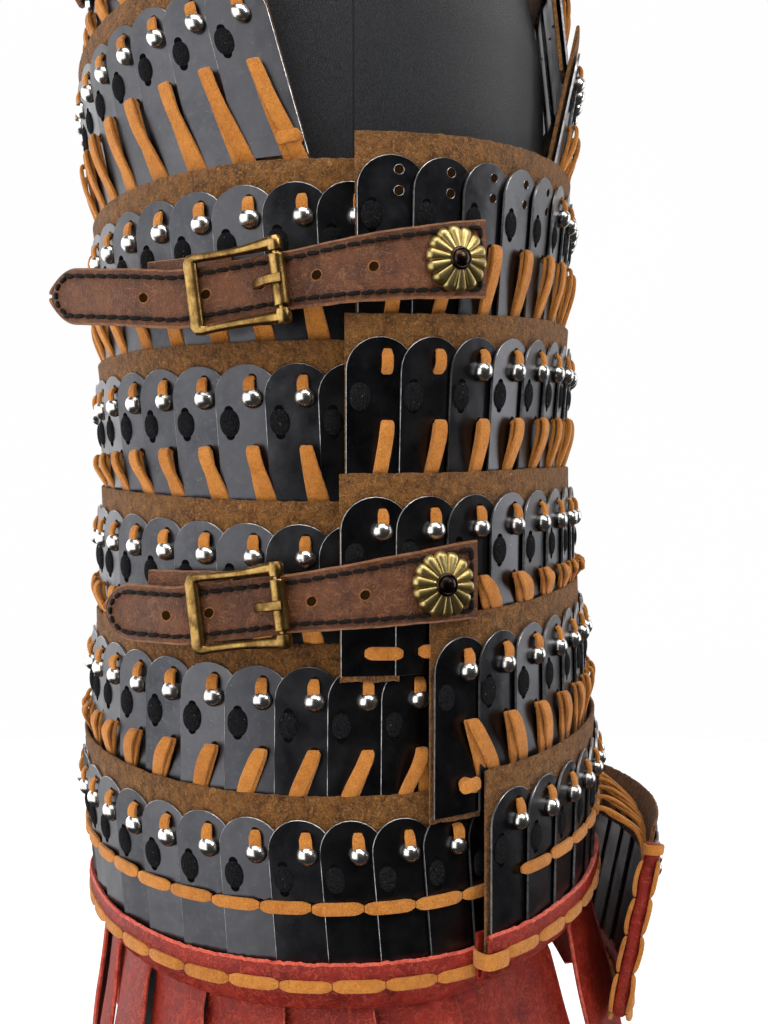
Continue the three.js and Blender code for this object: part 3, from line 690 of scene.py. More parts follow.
def through(points, count):
    """A smooth curve through points (Catmull-Rom), as count points."""
    points = np.asarray(points, float)
    ends = np.concatenate([[2 * points[0] - points[1]], points, [2 * points[-1] - points[-2]]])
    t = np.linspace(0, len(points) - 1 - 1e-6, count)
    i = t.astype(int)
    f = (t - i)[:, None]
    a, b, c, d = ends[i], ends[i + 1], ends[i + 2], ends[i + 3]
    return 0.5 * (2 * b + (c - a) * f + (2 * a - 5 * b + 4 * c - d) * f**2 + (3 * b - a - 3 * c + d) * f**3)


def unit(vectors):
    return vectors / np.maximum(np.linalg.norm(vectors, axis=-1, keepdims=True), 1e-9)


def ribbon(heap, path, across, width, thickness, sides=10, finish=0, tone=0.5, taper=None, square=0.55):
    """A thong along a path: a flat section with round edges, its width along across."""
    tangent = unit(np.gradient(path, axis=0))
    normal = unit(np.cross(tangent, across))
    across = np.cross(normal, tangent)
    angle = np.linspace(0, 2 * pi, sides, endpoint=False)
    a = np.sign(np.cos(angle)) * np.abs(np.cos(angle)) ** square * width / 2
    b = np.sign(np.sin(angle)) * np.abs(np.sin(angle)) ** square * thickness / 2
    scale = np.ones(len(path)) if taper is None else np.asarray(taper, float)
    placed = path[:, None] + scale[:, None, None] * (
        across[:, None] * a[None, :, None] + normal[:, None] * b[None, :, None])
    last = (len(path) - 1) * sides + np.arange(sides)
    heap.add(placed, [grid_faces(len(path), sides, closed=True), np.arange(sides)[None, ::-1], last[None]],
             finish, tone)


def blunt(count, end=0.55):
    """A taper that rounds off both ends of a thong."""
    k = np.minimum(np.arange(count), np.arange(count)[::-1]) / max(1, count // 6)
    return end + (1 - end) * np.minimum(k, 1) ** 0.5


def lay_on_plate(heap, band, j, route, width, thickness, count=12, **more):
    """A thong on plate j along a route of (s, h, off) points."""
    s, h, off = through(route, count).T
    path = band.on_plate(j, s, h, off)
    across = unit(band.on_plate(j, s + 1, h, off) - band.on_plate(j, s - 1, h, off))
    ribbon(heap, path, across, width, thickness, **more)


def chrome_finish():
    finish = Finish("polished_dome")
    haze = finish.noise(4, detail=4)
    shade = finish.mix(finish.ease(haze, 0.4, 0.8), (0.72, 0.70, 0.67), (0.54, 0.51, 0.47))
    return finish.shade(Base_Color=shade, Metallic=1.0, Roughness=finish.ease(haze, 0.35, 0.8, 0.24, 0.32))


def tie_finish():
    finish = Finish("black_suede")
    nap = finish.noise(0.8, detail=4, roughness=0.7)
    lint = finish.ease(finish.spots(1.9), 0.07, 0.13, 1.0, 0.0) * finish.ease(finish.noise(3.5), 0.5, 0.56)
    shade = finish.mix(finish.ease(nap, 0.4, 0.75), (0.0025, 0.0025, 0.003), (0.020, 0.020, 0.022))
    shade = finish.mix(lint * 0.8, shade, (0.30, 0.26, 0.20))
    finish.shade(Base_Color=shade, Roughness=0.97, Normal=finish.bump(nap + lint, 0.5))
    finish.shader.inputs["Specular IOR Level"].default_value = 0.1
    return finish.material


# Open holes are flat discs in near-black brown: the suede seen through a hole, darkened as painted shade.
def hole_shade_finish():
    finish = Finish("hole_painted_shade")
    shade = finish.mix(finish.noise(1.2), (0.003, 0.002, 0.001), (0.030, 0.013, 0.004))
    finish.shade(Base_Color=shade, Roughness=1.0)
    finish.shader.inputs["Specular IOR Level"].default_value = 0
    return finish.material


def tan_finish():
    finish = Finish("tan_lace")
    tone = finish.node("ShaderNodeAttribute", {"attribute_name": "tone"}, output="Fac")
    nap = finish.noise(1.1, detail=4, roughness=0.65)
    patch = finish.noise(6, detail=4, roughness=0.6)
    worn = finish.ease(patch + tone * 0.3, 0.35, 0.95)
    shade = finish.mix(worn, (0.360, 0.118, 0.014), (0.560, 0.215, 0.038))
    shade = finish.mix(finish.ease(nap, 0.5, 0.8) * 0.45, shade, (0.66, 0.30, 0.080))
    shade = finish.mix(finish.ease(nap, 0.45, 0.25) * 0.6, shade, (0.17, 0.052, 0.007))
    shade = finish.mix(finish.threads(3.5, 0.03) * 0.35, shade, (0.22, 0.075, 0.012))
    finish.shade(Base_Color=shade, Roughness=0.9, Normal=finish.bump(nap + patch * 0.6, 0.8))
    finish.shader.inputs["Specular IOR Level"].default_value = 0.15
    finish.shader.inputs["Sheen Weight"].default_value = 0.15
    return finish.material


def shadow_finish():
    finish = Finish("dark_hole")
    shade = finish.mix(finish.noise(1.2), (0.0010, 0.0010, 0.0012), (0.006, 0.006, 0.006))
    finish.shade(Base_Color=shade, Roughness=1.0)
    finish.shader.inputs["Specular IOR Level"].default_value = 0
    return finish.material


chrome, black_suede, tan = chrome_finish(), tie_finish(), tan_finish()
painted_hole_shade, shadowed = hole_shade_finish(), shadow_finish()


def disc(radius, rise, sides=16, rings=4, squash=1.0):
    """A low dome in (s, h, off), open below."""
    tilt = np.linspace(0, pi / 2, rings + 1)[:-1]
    angle = np.linspace(0, 2 * pi, sides, endpoint=False)
    r, w = radius * np.cos(tilt)[:, None], rise * np.sin(tilt)[:, None]
    ring = np.stack([r * np.cos(angle), r * squash * np.sin(angle), np.broadcast_to(w, (rings, sides))], -1)
    points = np.concatenate([ring.reshape(-1, 3), [[0, 0, rise]]])
    last = (rings - 1) * sides + np.arange(sides)
    cap = np.stack([last, np.roll(last, -1), np.full(sides, len(points) - 1)], -1)
    return points, [grid_faces(rings, sides, closed=True), cap]


def dome_shape():
    points, faces = disc(DOME["radius"], DOME["rise"], sides=20, rings=6)
    points[:, 2] += DOME["stand"] + 0.4
    skirt = points[:20] * [0.86, 0.86, 0] + [0, 0, -0.5]
    points = np.concatenate([skirt, points])
    return points, [grid_faces(2, 20, closed=True), faces[0] + 20, faces[1] + 20]


def set_shape(heap, band, js, shape, s, h, finish=0, sizes=None):
    """The same small shape on plates js."""
    if not len(js):
        return
    points, faces = shape
    sizes = np.ones(len(js)) if sizes is None else sizes
    scaled = points[None] * sizes[:, None, None]
    js = np.asarray(js)[:, None]
    placed = band.on_plate(js, s + scaled[..., 0], h + scaled[..., 1], scaled[..., 2])
    heap.stamp(placed, faces, finish)


def ring_shape(radius, wire):
    """A bright burr round a hole in (s, h, off), open below."""
    angle = np.linspace(0, 2 * pi, 18, endpoint=False)
    rows = [(radius - wire, 0.02), (radius, 0.16), (radius + wire, 0.02)]
    loops = [np.stack([r * np.cos(angle), r * np.sin(angle), np.full(18, w)], -1) for r, w in rows]
    return np.concatenate(loops), [grid_faces(3, 18, closed=True)]


def make_fastenings(name, band, panel, row):
    js = np.arange(band.count)
    from_edge = np.minimum(js, band.count - 1 - js)
    bare = from_edge < BARE_PLATES.get((panel, row), 0)
    domed = ~bare & (from_edge >= THONG_ONLY_PLATES.get((panel, row), 0))
    forward = HOLES["forward"]
    domes = Heap()
    sizes = random.uniform(0.97, 1.03, domed.sum())
    set_shape(domes, band, js[domed], dome_shape(), forward, HOLES["lower"], sizes=sizes)
    domes.piece(f"{name}_domes", chrome, "rivet_steel")

    thongs = Heap()
    for j in js[~bare]:
        wobble = random.normal(0, 0.35, 2)
        upper, lower = HOLES["upper"], HOLES["lower"]
        end = 1.0 if domed[j] else -1.5
        route = [(forward, upper + 1.2, -1.5), (forward + wobble[0] * 0.4, upper - 0.4, 0.7),
                 (forward + wobble[0], upper + 2, 2.2 + wobble[1] * 0.5), (forward + wobble[0], 11.8, 2.7),
                 (forward + wobble[0] * 0.5, lower - 1.8, 2.1), (forward, lower + 0.8, end)]
        taper = np.interp(np.arange(11), [0, 2, 4, 9, 10], [0.6, 0.72, 1, 1, 0.8])
        lay_on_plate(thongs, band, j, route, THONG["width"] + wobble[1] * 0.6, THONG["thickness"], count=11,
                     tone=random.random(), taper=taper)
    if thongs.size:
        thongs.piece(f"{name}_thongs", tan, "lace_leather")

    ties = Heap()
    squash = TIE["half_height"] / TIE["half_width"]
    tie, tie_faces = disc(TIE["half_width"], TIE["rise"], sides=24, rings=6, squash=squash)
    tie[:, 0] *= 1 + TIE["waist"] * (tie[:, 1] / TIE["half_height"]) ** 2
    sizes = random.uniform(0.92, 1.05, band.count)
    set_shape(ties, band, js, (tie, tie_faces), TIE["s"], TIE["h"], sizes=sizes)
    # Holes are flat discs: at each tie's ends in the near-black of painted shadow, and at the open holes in
    # dark brown, the suede seen through them darkened as painted shade.
    hole = disc(HOLES["radius"], 0.06, sides=18, rings=2)
    burr = ring_shape(HOLES["radius"], 0.17)
    for end in (-1, 1):
        h = TIE["h"] + end * (TIE["half_height"] - 0.5)
        set_shape(ties, band, js, hole, TIE["s"], h, finish=3)
    for place, shown in (("upper", js), ("lower", js[bare]), ("lace", js)):
        set_shape(ties, band, shown, hole, forward, HOLES[place], finish=1)
        if place != "lace":
            set_shape(ties, band, js[bare], burr, forward, HOLES[place], finish=2)
    ties.piece(f"{name}_ties_and_holes", [black_suede, painted_hole_shade, rim_steel, shadowed], "tie_suede")


for panel, rows in bands.items():
    for i, band in enumerate(rows, 1):
        make_fastenings(f"{panel}_{i}", band, panel, i)
make_fastenings("apron", apron, "apron", 1)

# ---------------------------------------------------------------------------------------------
# Lacing: doubled tan thongs that hang each band from the one above. A loop comes out of a hole
# in mid plate, arches down and goes behind the suede of the band below.
# ---------------------------------------------------------------------------------------------
LACE = {"width": 7.2, "thickness": 2.3, "arch": 4.8}
LEANS = {
    # how far each row's loops lean to the front on their way down
    "back": (9, 10, 7, 6, 6, -9),
    "front": (3, 2, -4, -3, 9, 11),
}


def lean_of(panel, row, from_edge):
    if (panel, row) == ("back", 6):
        return (0, 1)[from_edge] if from_edge < 2 else -9
    if (panel, row) == ("front", 6) and from_edge == 0:
        return 17
    return LEANS[panel][row - 1]


def make_loops(name, band, below, panel, row):
    heap = Heap()
    for j in range(band.count):
        from_edge = min(j, band.count - 1 - j)
        t = (2 * (j + 0.5) / band.count - 1) * band.spans[1] / below.spans[0]
        lean = lean_of(panel, row, from_edge) + random.normal(0, 0.9)
        if abs(t) - max(lean, 0) / below.spans[0] > 1:
            continue
        _, _, z = band.bare(j + 0.5, 0)
        _, _, z_below = below.bare((t + 1) / 2 * below.count, 0)
        cross = z - z_below - SUEDE["above"]
        start, forward = HOLES["lace"], HOLES["forward"]
        arch = LACE["arch"] * random.uniform(0.85, 1.15)
        spread = (panel, row, from_edge) == ("back", 6, 2)
        for strand, (rise, shift) in enumerate(((1.0, 0.0), (0.42, -0.35 * np.sign(lean)))):
            tip = lean if strand == 0 else (lean * 0.62 - 1.5 if not spread else 3)
            high = arch * rise
            drop = cross - start
            width = LACE["width"] * (1 if strand == 0 else 0.9)
            taper = np.interp(np.arange(22), [0, 3, 5, 7, 10], [0.42, 0.5, 0.72, 0.9, 1])
            route = [(forward, start + 2.5, -2), (forward, start + 0.4, high * 0.35),
                     (forward + shift, start - 0.6 + 0.8 * strand, high * 0.8),
                     (forward + shift + 0.08 * tip, start + 2.2, high * 1.12),
                     (forward + shift + 0.35 * tip, start + drop * 0.38, high * 1.1),
                     (forward + shift + 0.75 * tip, start + drop * 0.75, high * 0.62),
                     (forward + tip, cross + 1, 0.9 - 0.5 * strand), (forward + 1.15 * tip, cross + 7, 0.2)]
            lay_on_plate(heap, band, j, route, width, LACE["thickness"], count=22, tone=random.random(),
                         taper=taper)
    heap.piece(name, tan, "lace_leather", crease=50)


for panel, rows in bands.items():
    for i in range(1, len(rows)):
        make_loops(f"{panel}_lacing_{i}", rows[i - 1], rows[i], panel, i)

# ---------------------------------------------------------------------------------------------
# Running lace: one flat tan thong that runs through the hem plates, a stitch to each plate, and
# short runs of it across the free feet of the plates beside the closure.
# ---------------------------------------------------------------------------------------------
STITCH = {"height": 6.2, "thickness": 2.5, "gap": 0.5}
HEM_LACE_H = 41
FREE_FEET = {"row": 5, "plates": 2, "h": 74, "reach": 0.36, "height": 6.5, "thickness": 3.2}
KNOT = {"reach": 6.2, "width": 6.6, "thickness": 3}
KNOTS = [
    # panel, row, and where the knot lies on the row's first and last plates
    ("front", 6, 3, 71), ("back", 2, 9.5, 77),
]


def running_stitch(heap, band, u0, u1, h, off, slope=0.5, height=STITCH["height"],
                   thickness=STITCH["thickness"]):
    """One stitch along a band from u0 to u1, bowed outwards."""
    gap = STITCH["gap"] / PLATE["pitch"] / 2
    k = np.linspace(0, 1, 12)
    us = u0 + gap + (u1 - u0 - 2 * gap) * k
    rise = off + 0.7 + 0.9 * np.sin(pi * np.clip(k, 0.02, 0.98)) ** 0.5
    hs = h + slope * (k - 0.5) + random.normal(0, 0.15)
    path = band.at(us, hs, rise)
    down = np.repeat([[0, 0, -1.0]], len(us), axis=0)
    height = height * random.uniform(0.94, 1.05)
    ribbon(heap, path, down, height, thickness, sides=12, tone=random.random(),
           taper=blunt(len(us), 0.5), square=0.5)


def hole_u(band, j):
    return j + 0.5 + band.forward(j) * HOLES["forward"] / PLATE["pitch"]


def make_running_lace(name, band):
    heap = Heap()
    holes = [float(hole_u(band, j)) for j in range(band.count)]
    for u0, u1 in zip(holes, holes[1:]):
        running_stitch(heap, band, u0, u1, HEM_LACE_H, 0.4)
    heap.piece(name, tan, "lace_leather")


make_running_lace("back_hem_lace", bands["back"][6])
make_running_lace("front_hem_lace", bands["front"][6])
make_running_lace("apron_lace", apron)


def knot(heap, band, j, s0, h0):
    """A flat overhand knot on plate j: two short crossing turns of thong."""
    for tilt, lift in ((0.32, 0.0), (-0.12, 1.2)):
        k = np.linspace(-1, 1, 12)
        s, h = s0 + KNOT["reach"] * k * np.cos(tilt), h0 + KNOT["reach"] * k * np.sin(tilt)
        path = band.on_plate(j, s, h, 1.4 + lift + 1.2 * (1 - k**2))
        across = unit(band.on_plate(j, s - np.sin(tilt), h + np.cos(tilt), 2.0) - band.on_plate(j, s, h, 2.0))
        ribbon(heap, path, across, KNOT["width"], KNOT["thickness"], tone=random.random(),
               taper=blunt(12, 0.3))


free_feet = Heap()
band, reach_u = bands["front"][FREE_FEET["row"] - 1], FREE_FEET["reach"]
for start in range(FREE_FEET["plates"]):
    for j in (start, band.count - 1 - start):
        u = j + 0.5 + 0.15 * band.forward(j)
        running_stitch(free_feet, band, u - reach_u, u + reach_u, FREE_FEET["h"], 0.6,
                       height=FREE_FEET["height"], thickness=FREE_FEET["thickness"])
for panel, row, s, h in KNOTS:
    band = bands[panel][row - 1]
    for j in (0, band.count - 1):
        knot(free_feet, band, j, s, h)
free_feet.piece("free_feet_lace", tan, "lace_leather")

# ---------------------------------------------------------------------------------------------
# Hem: red leather folded over the feet of the lowest plates and sewn with tan thong, and the
# red tongues cut from one strip that hang below it.
# ---------------------------------------------------------------------------------------------
HEM = {"top": 67, "foot": 89.5, "seam": 76.5, "thickness": 2, "beyond": 6.5}
HEM_WRAP = {"width": 8, "thickness": 2}
TONGUE = {"pitch": 45, "from": 72, "slit": 84, "round_from": 145, "tip": 178, "thickness": 2.4,
          "behind": -7.9, "area_left": 0.96}
TONGUE_FLARE = np.tan(radians(14.5))


def leather_finish(name, dark, mid, light, grain=1.0, rough=(0.42, 0.6), crazing=0.5):
    finish = Finish(name)
    broad = finish.noise(22, detail=5, roughness=0.65)
    blotch = finish.noise(6, detail=5, roughness=0.65)
    grain_noise = finish.noise(1.3, detail=4, roughness=0.6)
    cells = finish.spots(1.5, "DISTANCE_TO_EDGE")
    gate = finish.ease(finish.noise(7, detail=3), 0.4, 0.6)
    creases = finish.threads(10, 0.022, 0.4) * gate + finish.threads(6.5, 0.03, 1.6) * (1 - gate)
    crazed = finish.ease(creases, 0.0, 1.0)
    shade = finish.mix(finish.ease(broad * 0.55 + blotch * 0.45, 0.38, 0.62), dark, mid)
    shade = finish.mix(crazed * crazing, shade, light)
    shade = finish.mix(finish.ease(grain_noise, 0.55, 0.8) * 0.22, shade, light)
    relief = grain_noise * 0.5 + finish.ease(cells, 0.0, 0.25) * 0.5 - crazed * 0.35
    finish.shade(Base_Color=shade, Roughness=finish.ease(broad, 0.3, 0.75, *rough),
                 Normal=finish.bump(relief, 0.22 * grain))
    finish.shader.inputs["Specular IOR Level"].default_value = 0.3
    return finish.material


red = leather_finish(
    "red_leather", dark=(0.125, 0.004, 0.0015), mid=(0.270, 0.013, 0.0045), light=(0.48, 0.070, 0.028),
    grain=1.3, rough=(0.45, 0.62), crazing=0.7)
red_edge = suede_finish(
    "red_raw_edge", pale=(0.85, 0.26, 0.19), mid=(0.66, 0.12, 0.075), dark=(0.36, 0.035, 0.020), nap=0.7)


def folded(heap, band, us, line, thickness, ripple):
    """A folded strip along a band: line is its (h, off) middle line, and ripple shifts off at each u.
    Its top edge on the outer side is cut raw, in the piece's second finish."""
    line = np.asarray(line, float)
    along = np.gradient(line, axis=0)
    normal = np.stack([-along[:, 1], along[:, 0]], -1) / np.linalg.norm(along, axis=1)[:, None]
    loop = np.concatenate([line - normal * thickness / 2, (line + normal * thickness / 2)[::-1]])
    size = len(loop)
    torn = random.normal(0, 0.22, (len(us), 1)) * np.isin(np.arange(size), [0, size - 1, size - 2])
    placed = band.at(us[:, None], loop[None, :, 0] + torn, loop[None, :, 1] + ripple(us, loop))
    last = (len(us) - 1) * size + np.arange(size)
    faces = grid_faces(len(us), size, closed=True)
    heap.add(placed, [faces, np.arange(size)[None, ::-1], last[None]])
    raw = (np.arange(len(us) - 1)[:, None] * size + [size - 1, size - 2]).ravel()
    heap.finishes[-3] = np.isin(np.arange(len(faces)), raw).astype(int)


def hem_ripple(us, loop):
    """The stitches pull the leather in between them, in a V below each gap."""
    outer = (loop[:, 1] > -3) & (loop[:, 0] > HEM["seam"] - 1)
    pinch = np.abs(((us + 0.12 + 0.5) % 1) - 0.5) * 2
    depth = np.clip(1 - pinch / 0.42, 0, 1)[:, None] * 2.2
    wave = 0.3 * np.sin(us * 2.3)[:, None] * (loop[:, 0] < HEM["seam"])[None]
    return -depth * outer[None] * np.clip((loop[:, 0] - HEM["seam"]) / 4, 0, 1)[None] + wave


def make_hem(panel, band):
    heap = Heap()
    beyond = HEM["beyond"] / PLATE["pitch"]
    us = np.linspace(-beyond, band.count + beyond, band.count * 16)
    top, foot, seam = HEM["top"], HEM["foot"], HEM["seam"]
    line = [(top - 0.4, 1.7), (top + 0.9, 2.4), (top + 3, 2.9), (top + 6, 2.8), (seam, 1.9), (seam + 3, 2.0),
            (seam + 5, 1.2), (seam + 7.5, -0.6), (foot - 2, -2.6), (foot - 0.6, -4.6), (foot - 2, -6.4),
            (foot - 6, -6.9), (seam, -6.9), (top, -6.9)]
    folded(heap, band, us, line, HEM["thickness"], hem_ripple)
    node = f"{panel}_hem_binding"
    leather = heap.piece(f"{panel}_hem_leather", [red, red_edge], "red_leather", [node], crease=60)
    strip_length = np.linalg.norm(np.diff(band.at(us, seam + 0 * us, 0 * us), axis=0), axis=1).sum() / 1000
    unfolded = np.linalg.norm(np.diff(np.array(line), axis=0), axis=1).sum() / 1000
    sewing = Heap()
    for j in range(band.count):
        running_stitch(sewing, band, j + 0.1, j + 1.1, seam + 0.6, 2.3, slope=0)
    if panel == "front":
        # the thong's last turn, round each end of the hem: (in from the end, off)
        wrap = through([(12, 2.6), (9, 4.4), (4, 4.6), (0.6, 4.3), (-1.4, 2.0), (-1.5, -4.5), (0.6, -8.4),
                        (6, -8.7)], 22)
        down = np.repeat([[0, 0, -1.0]], len(wrap), axis=0)
        for end, inward in ((-beyond, 1), (band.count + beyond, -1)):
            path = band.at(end + inward * wrap[:, 0] / PLATE["pitch"], seam + 2.2, wrap[:, 1])
            ribbon(sewing, path, down, HEM_WRAP["width"], HEM_WRAP["thickness"], sides=12, tone=0.8,
                   taper=blunt(22, 0.7), square=0.4)
    sewing.piece(f"{panel}_hem_sewing", tan, "lace_leather")


def slab(heap, face, thickness, tone=0.5):
    """A closed sheet of leather from a grid of points on its face. Its rounded cut edges are in the
    piece's second finish."""
    rows, columns = face.shape[:2]
    down, over = np.gradient(face, axis=0), np.gradient(face, axis=1)
    normal = unit(np.cross(over, down))
    index = np.arange(rows * columns).reshape(rows, columns)
    border = np.concatenate([index[0, :-1], index[:-1, -1], index[-1, :0:-1], index[:0:-1, 0]])
    flat, flat_normal = face.reshape(-1, 3), normal.reshape(-1, 3)
    inside = np.clip(np.stack(np.unravel_index(border, (rows, columns))), 1, [[rows - 2], [columns - 2]])
    outward = unit(flat[border] - face[inside[0], inside[1]])
    middle = flat[border] - flat_normal[border] * thickness / 2 + outward * thickness * 0.28
    points = np.concatenate([flat, flat - flat_normal * thickness, middle])
    size = len(flat)
    rim = np.arange(len(border))
    after = np.roll(rim, -1)
    strips = [np.stack([border[rim], border[after], after + 2 * size, rim + 2 * size], -1),
              np.stack([rim + 2 * size, after + 2 * size, border[after] + size, border[rim] + size], -1)]
    heap.add(points, [grid_faces(rows, columns), grid_faces(rows, columns)[:, ::-1] + size], 0, tone)
    for strip_faces in strips:
        heap.groups.append(strip_faces + heap.size - len(points))
        heap.finishes.append(np.full(len(strip_faces), 1))


def make_tongues(panel, band):
    heap = Heap()
    span, hang = band.spans[1], band.hang
    count = round(2 * span * hang / TONGUE["pitch"])
    round_from = TONGUE["round_from"]
    k = np.linspace(0, 1, 18)[:, None]
    side = np.linspace(-1, 1, 13)[None]
    h = TONGUE["from"] + (TONGUE["tip"] - TONGUE["from"]) * k
    for j in range(count):
        centre = hang * ((2 * j + 1) / count - 1)
        half = hang / count
        drop = random.uniform(-5, 3)
        low = np.clip((h - TONGUE["slit"]) / (TONGUE["tip"] - TONGUE["slit"]), 0, 1)
        tip = np.clip((h - round_from) / (TONGUE["tip"] + drop - round_from), 0, 1)
        narrow = np.sqrt(np.clip(1 - tip**2.4, 0.02, 1))
        cut = np.clip(low * 8, 0, 1)
        turned = np.sign(centre + 0.01) * band.facing
        t = centre + side * half * (1 + 0.06 * np.clip(low * 3, 0, 1)) * narrow
        swing = random.uniform(-1.5, 4.5)
        curl = random.uniform(-4.5, 0.5)
        tilt = (2.2 + random.uniform(-0.8, 1.8)) * turned * side
        off = TONGUE["behind"] + np.maximum(h - TONGUE["slit"], 0) * TONGUE_FLARE + swing * low**1.3
        off = off + cut * tilt + low * curl * side**2 + 0.8 * np.sin(3.1 * k * pi + j) * low
        face = band.at((t + 1) / 2 * band.count, h + 0 * t + drop * low, off + 0 * t)
        slab(heap, face, TONGUE["thickness"], random.random())
    node = f"{panel}_tongues"
    leather = heap.piece(f"{node}_leather", [red, red_edge], "red_leather", [node], crease=50)
    width, length = 2 * span * hang / 1000, (TONGUE["tip"] - TONGUE["from"]) / 1000
    area = width * length * TONGUE["area_left"]


for panel, rows in bands.items():
    make_hem(panel, rows[6])
    make_tongues(panel, rows[6])

# ---------------------------------------------------------------------------------------------
# Apron: one more band, hung below the front hem on long doubled thongs and bound at its sides
# and foot with rolled red leather that is oversewn with tan thong.
# ---------------------------------------------------------------------------------------------
APRON_CORNER = 10
OVERSEWING = {"start": 9, "end_gap": 20, "pitch": 20.5, "stitch": 19.4, "inward": 2.6, "width": 6,
              "thickness": 2.4}
APRON_LOOP = {"width": 5.8, "thickness": 2.3, "crowding": 0.94}


def bound_edge(heap, sewing):
    half, roll, foot = APRON["half_width"], APRON["roll"], PLATE["length"]
    plates, corner = APRON["plates"], APRON_CORNER
    beyond = (roll / 2 + 0.3) / half * plates / 2
    corner_u, corner_h = -beyond + corner / half * plates / 2, foot + roll / 2 - corner
    bend = np.linspace(0, pi / 2, 7)[1:-1]
    bend_u, bend_h = corner * np.cos(bend) / half * plates / 2, corner * np.sin(bend)
    down = [(-beyond, h) for h in np.linspace(-2, corner_h, 24)]
    turn_in = [(corner_u - u, corner_h + h) for u, h in zip(bend_u, bend_h)]
    left = down + turn_in + [(u, foot + roll / 2) for u in np.linspace(corner_u, plates / 2, 26)]
    route = np.array(left + [(plates - u, h) for u, h in left[-2::-1]])
    path = apron.at(route[:, 0], route[:, 1], -0.8 + 0.25 * np.sin(np.arange(len(route)) * 0.9))
    outward = unit(apron.at(route[:, 0], route[:, 1], 1.0) - apron.at(route[:, 0], route[:, 1], 0.0))
    ribbon(heap, path, outward, roll, roll, sides=16, square=0.95)
    steps = np.concatenate([[0], np.cumsum(np.linalg.norm(np.diff(path, axis=0), axis=1))])
    inward = unit(np.cross(np.gradient(path, axis=0), outward))
    bulge = 0.5 + 1.1 * np.sin(pi * np.linspace(0, 1, 12))[:, None] ** 0.5
    for outer in (1, -1):
        for start in np.arange(OVERSEWING["start"], steps[-1] - OVERSEWING["end_gap"], OVERSEWING["pitch"]):
            along = np.linspace(start, start + OVERSEWING["stitch"], 12)
            centre, out_here, in_here = [
                np.stack([np.interp(along, steps, field[:, k]) for k in range(3)], -1)
                for field in (path, outward, inward)]
            laid = centre + outer * out_here * (roll / 2 - 0.5 + bulge) + in_here * OVERSEWING["inward"]
            ribbon(sewing, laid, in_here, OVERSEWING["width"], OVERSEWING["thickness"], sides=12,
                   tone=random.random(), taper=blunt(12, 0.5), square=0.5)
    # the thong's last turn, round each end of the roll
    turn = np.linspace(0, 2 * pi, 22)[:, None]
    for end, beside in ((0, 1), (-1, -2)):
        around = path[end] + (roll / 2 + 0.7) * (np.cos(turn) * outward[end] + np.sin(turn) * inward[end])
        lengthways = np.repeat([unit(path[beside] - path[end])], 22, axis=0)
        ribbon(sewing, around + lengthways * 3, lengthways, 5.5, 2.2, sides=10, tone=0.4)


apron_edge, apron_sewing = Heap(), Heap()
bound_edge(apron_edge, apron_sewing)
apron_edge.piece("apron_edge_roll", red, "red_leather", ["apron_binding"], crease=60)

front_hem = bands["front"][6]
for j in range(apron.count):
    hem_u = front_hem.count / 2 + (j + 0.5 - apron.count / 2) * APRON_LOOP["crowding"]
    for strand, side_shift in enumerate((-2.4, 2.2)):
        lace_h = HOLES["lace"]
        hole = front_hem.at([hem_u] * 3, [lace_h, lace_h - 1.5, lace_h + 2], [-1, 5, 11 + 3 * strand])
        low = apron.on_plate(j, [HOLES["forward"] + side_shift] * 3, [-5 + 2 * strand, 5, 13],
                             [-13 + 3 * strand, -7, -4.6])
        path = through([*hole, *low], 30)
        across = np.repeat([[1.0, 0, 0]], len(path), axis=0)
        ribbon(apron_sewing, path, across, APRON_LOOP["width"], APRON_LOOP["thickness"], tone=random.random(),
               taper=blunt(30, 0.6))
apron_sewing.piece("apron_lacing", tan, "lace_leather")

# ---------------------------------------------------------------------------------------------
# Side straps: brown pull-up leather, cut wide at the front and tapering to the buckle, with two
# rows of waxed black thread, punched holes and a rounded tip. The left side mirrors the right.
# ---------------------------------------------------------------------------------------------
STRAPS = {
    "upper": {
        "path": [(-71, 184), (-55, 193), (-32, 202), (-10, 205.5), (15, 200.2), (75, 185.8), (100, 173),
                 (128, 153), (150, 135)],
        "heights": (491, 471, 480), "trim": 6, "rosette_y": -56, "holes": (-18, 8, 34.5, 61, 92),
        "tab": [(50, 184.3), (70, 175.5), (92, 162)],
    },
    "lower": {
        "path": [(-67, 182), (-50, 190.5), (-30, 197), (-7, 200.5), (15, 195.2), (75, 180.8), (96, 165),
                 (117, 147)],
        "heights": (338, 320, 321), "trim": 2, "rosette_y": -50, "holes": (-14, 10.5, 34.5, 60, 81),
        "tab": [(50, 179.3), (70, 171), (92, 159)],
    },
}
STRAIGHT = (15, 75)
STRAP = {"root": 36, "buckle": 26, "tip": 14, "thickness": 3.5, "margin": 3, "root_margin": 3.2}
THREAD = {"stitch": 5.75, "pitch": 6.2, "width": 2.1, "thickness": 1.9}


def mirrored(heap):
    """The same pieces for the wearer's other side."""
    other = Heap()
    other.__dict__.update({key: list(value) if isinstance(value, list) else value
                           for key, value in heap.__dict__.items()})
    other.points = [points * [-1, 1, 1] for points in heap.points]
    return other


def both_sides(heap, name, finishes, slot, node=None, crease=40):
    """Makes a right-hand piece and its mirror image, each in place of its own CAD node."""
    for side, half in (("right", heap), ("left", mirrored(heap))):
        nodes = [node.format(side)] if node else ()
        half.piece(name.format(side), finishes, slot, nodes, crease)


